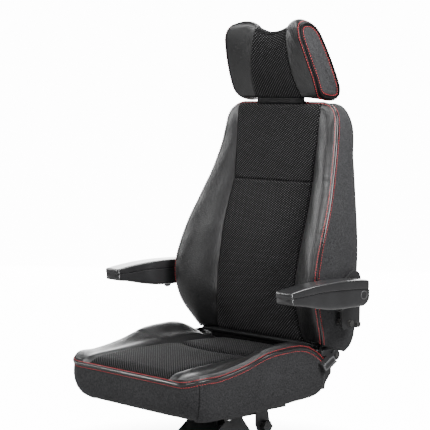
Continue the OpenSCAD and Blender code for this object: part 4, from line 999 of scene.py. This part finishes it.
def head_end(side, hand):
    """Leather edge round the wing's end with a piping, a row of stitches before and after it,
    and the domed cloth panel inside."""
    sign = np.array([side, 1, 1])
    steps = [(0, 0.2), (2.5, 2.2), (6, 3.4), (10, 4.0), (14, 4.2), (17, 3.9)]
    strip = np.stack([end_loop(inset, out)[0] for inset, out in steps])
    rings = np.concatenate([strip, strip[::-1] - [4.5, 0, 0]])
    dress(hoop(f"headrest_edge_{hand}", rings * sign), dull_leather, "headrest")
    outward = np.tile([side, 0.0, 0.0], (ring_points, 1))
    dress(tube(f"headrest_piping_{hand}", end_loop(7.0, 5.0)[0] * sign, outward, 2.3, closed=True),
          dull_leather, "headrest")
    first, away = end_loop(0.0, 0.6)
    stitch_row(f"headrest_stitching_front_{hand}", first * sign, unit(away + [0.8, 0, 0]) * sign, "headrest",
               closed=True)
    stitch_row(f"headrest_stitching_end_{hand}", end_loop(14.5, 4.6)[0] * sign, outward, "headrest",
               closed=True)
    rim = end_loop(15.5, 3.6)[0]
    middle = rim.mean(0)
    shrink = np.array([1.0, 0.97, 0.86, 0.65, 0.4, 0.18])[:, None, None]
    dome = np.array([0.0, 1.3, 2.6, 3.8, 4.6, 4.9])[:, None, None]
    cap = middle + (rim - middle) * shrink + dome * [1, 0, 0]
    rings = np.concatenate([rim[None] - [6, 0, 0], cap])
    dress(skinned(f"headrest_end_{hand}", rings * sign, last=(middle + [5, 0, 0]) * sign), side_cloth,
          "headrest")


for side, hand in hands:
    wing(side, hand)
    head_end(side, hand)

# ---- armrests: core, moulded body, pad, cap and wheel ----------------------
# A steel core inside a deep satin moulding, with a pad of self-skinned foam on top. Both end
# in a blunt nose. A plug with a grey ring closes the pivot bolt's end, and a small wheel
# underneath sets the angle.


def self_skin(place):
    """Satin skin of moulded foam: nearly smooth, with faint flow clouds and rubbed spots."""
    cloud = place.noise(24.0, 4.0)
    return {"Base Color": cloud.tint((0.010, 0.010, 0.0105), (0.021, 0.021, 0.022)),
            "Roughness": 0.24 + cloud * 0.14, "Normal": place.noise(420.0, 3.0).bump(0.0003, 0.25)}


armrest_foam = finish("armrest_foam", self_skin, Specular_IOR_Level=0.5, Coat_Weight=0.6,
                      Coat_Roughness=0.12)
arm_x, pivot = 328.5, np.array([200.0, 455.0])


def arm_form(side, hand, part, node, ahead, top, low, half, nose, corners, draws):
    """Closed rings square to the arm, between a top and a lower line: rounded rectangles whose
    upper and lower corners have the given softness. Both ends are blunt, with rounded corners,
    and the two lines draw in towards them by the given shares."""
    end = np.minimum(ahead - ahead[0], ahead[-1] - ahead)
    pinch = (nose * (1 - np.sqrt(1 - (1 - np.clip(end / nose, 0, 1)) ** 2)))[:, None]
    turn = (np.arange(64) + 0.5) * math.tau / 64
    c, s = np.cos(turn), np.sin(turn)
    wide = squared(c, np.minimum(0.26, 1.3 * np.where(s > 0, *corners)))
    high = squared(s, np.where(s > 0, *corners))
    top, low = top[:, None], low[:, None]
    mid = top * 0.6 + low * 0.4
    up = top - pinch * draws[0] - mid
    down = mid - low - pinch * draws[1]
    x = arm_x + (half - pinch) * wide * (1 - 0.04 * np.clip(s, 0, 1) ** 2)
    z = mid + high * np.where(high > 0, up, down)
    rings = np.stack([x * side, pivot[0] - ahead[:, None] + 0 * x, pivot[1] + z], -1)
    return dress(skinned(f"armrest_{part}_{hand}", rings), armrest_foam, f"arm_{hand}",
                 [f"{node}_{hand}"])


def armrest(side, hand):
    """The pad and, under a fine groove, the deep moulding that carries it. The moulding's lower
    line falls from the nose to the pivot and turns up behind it on a round corner."""
    groove = [-23, 0, 60, 100, 180, 212, 262], [13.3, 15.3, 17.8, 18.8, 18.3, 15.8, 14.3]
    ahead = spaced(-23, 7, -16, 4, 0, 44, 252, 10, 262)
    top = through(ahead, [-23, 0, 60, 130, 166, 200, 226, 262], [36.5, 39, 41.5, 41, 39, 36, 33, 27.5])
    arm_form(side, hand, "pad", "arm_pad", ahead, top, through(ahead, *groove), 28.5, 6.5,
             (0.33, 0.1), (0.5, 0))
    ahead = spaced(-23, 12, 4, 4, 20, 36, 226, 12, 259)
    low = through(ahead, [4, 20, 82, 119, 166, 226, 250, 259], [-29, -29.3, -29, -27, -20, -8, -5, -3])
    low = np.where(ahead < 4, -3 - np.sqrt(np.clip(26.5 ** 2 - (3.5 - ahead) ** 2, 1, None)), low)
    arm_form(side, hand, "shell", "arm_body", ahead, through(ahead, *groove) - 0.1, low, 28.2, 3.0,
             (0.1, 0.2), (0, 0.3))
    turn = np.arange(40) * math.tau / 40
    ring = np.column_stack([np.full(40, 356.9 * side), pivot[0] + 10.5 * np.cos(turn),
                            pivot[1] + 10.5 * np.sin(turn)])
    dress(tube(f"armrest_cap_ring_{hand}", ring, np.tile([side, 0.0, 0.0], (40, 1)), 0.9, closed=True),
          grey_trim, f"arm_{hand}")


for side, hand in hands:
    armrest(side, hand)
    coat(zinc_steel, f"arm_core_{hand}")
    coat(black_plastic, f"arm_cap_{hand}", f"arm_wheel_{hand}")
    coat(black_steel, f"arm_bracket_{hand}")
    coat(black_bolts, f"arm_bolts_{hand}")

# ---- rounded edges of the plates and small parts ---------------------------
# Every cut or moulded edge is broken by about a millimetre, so that it catches the light. The
# first number is the width of the rounding, for the parts after it.

for width, names in ((0.6, ("arm_bolts_left", "arm_bolts_right", "arm_cap_left", "arm_cap_right",
                            "recline_lever")),
                     (0.7, ("recliner_bracket_left", "recliner_bracket_right", "clamp_bracket",
                            "pedestal_cheek_left", "pedestal_cheek_right")),
                     (0.8, ("arm_bracket_left", "arm_bracket_right", "arm_wheel_left", "arm_wheel_right",
                            "pedestal_top_plate")),
                     (1.0, ("clamp_knob", "base_plate")),
                     (1.5, ("recline_grip",))):
    for name in names:
        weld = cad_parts[name].modifiers.new("weld", "WELD")
        weld.merge_threshold = 0.00002
        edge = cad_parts[name].modifiers.new("edge", "BEVEL")
        edge.width = width * 0.001
        edge.segments = 2
        edge.limit_method = "ANGLE"
        edge.angle_limit = math.radians(35)
        edge.harden_normals = True
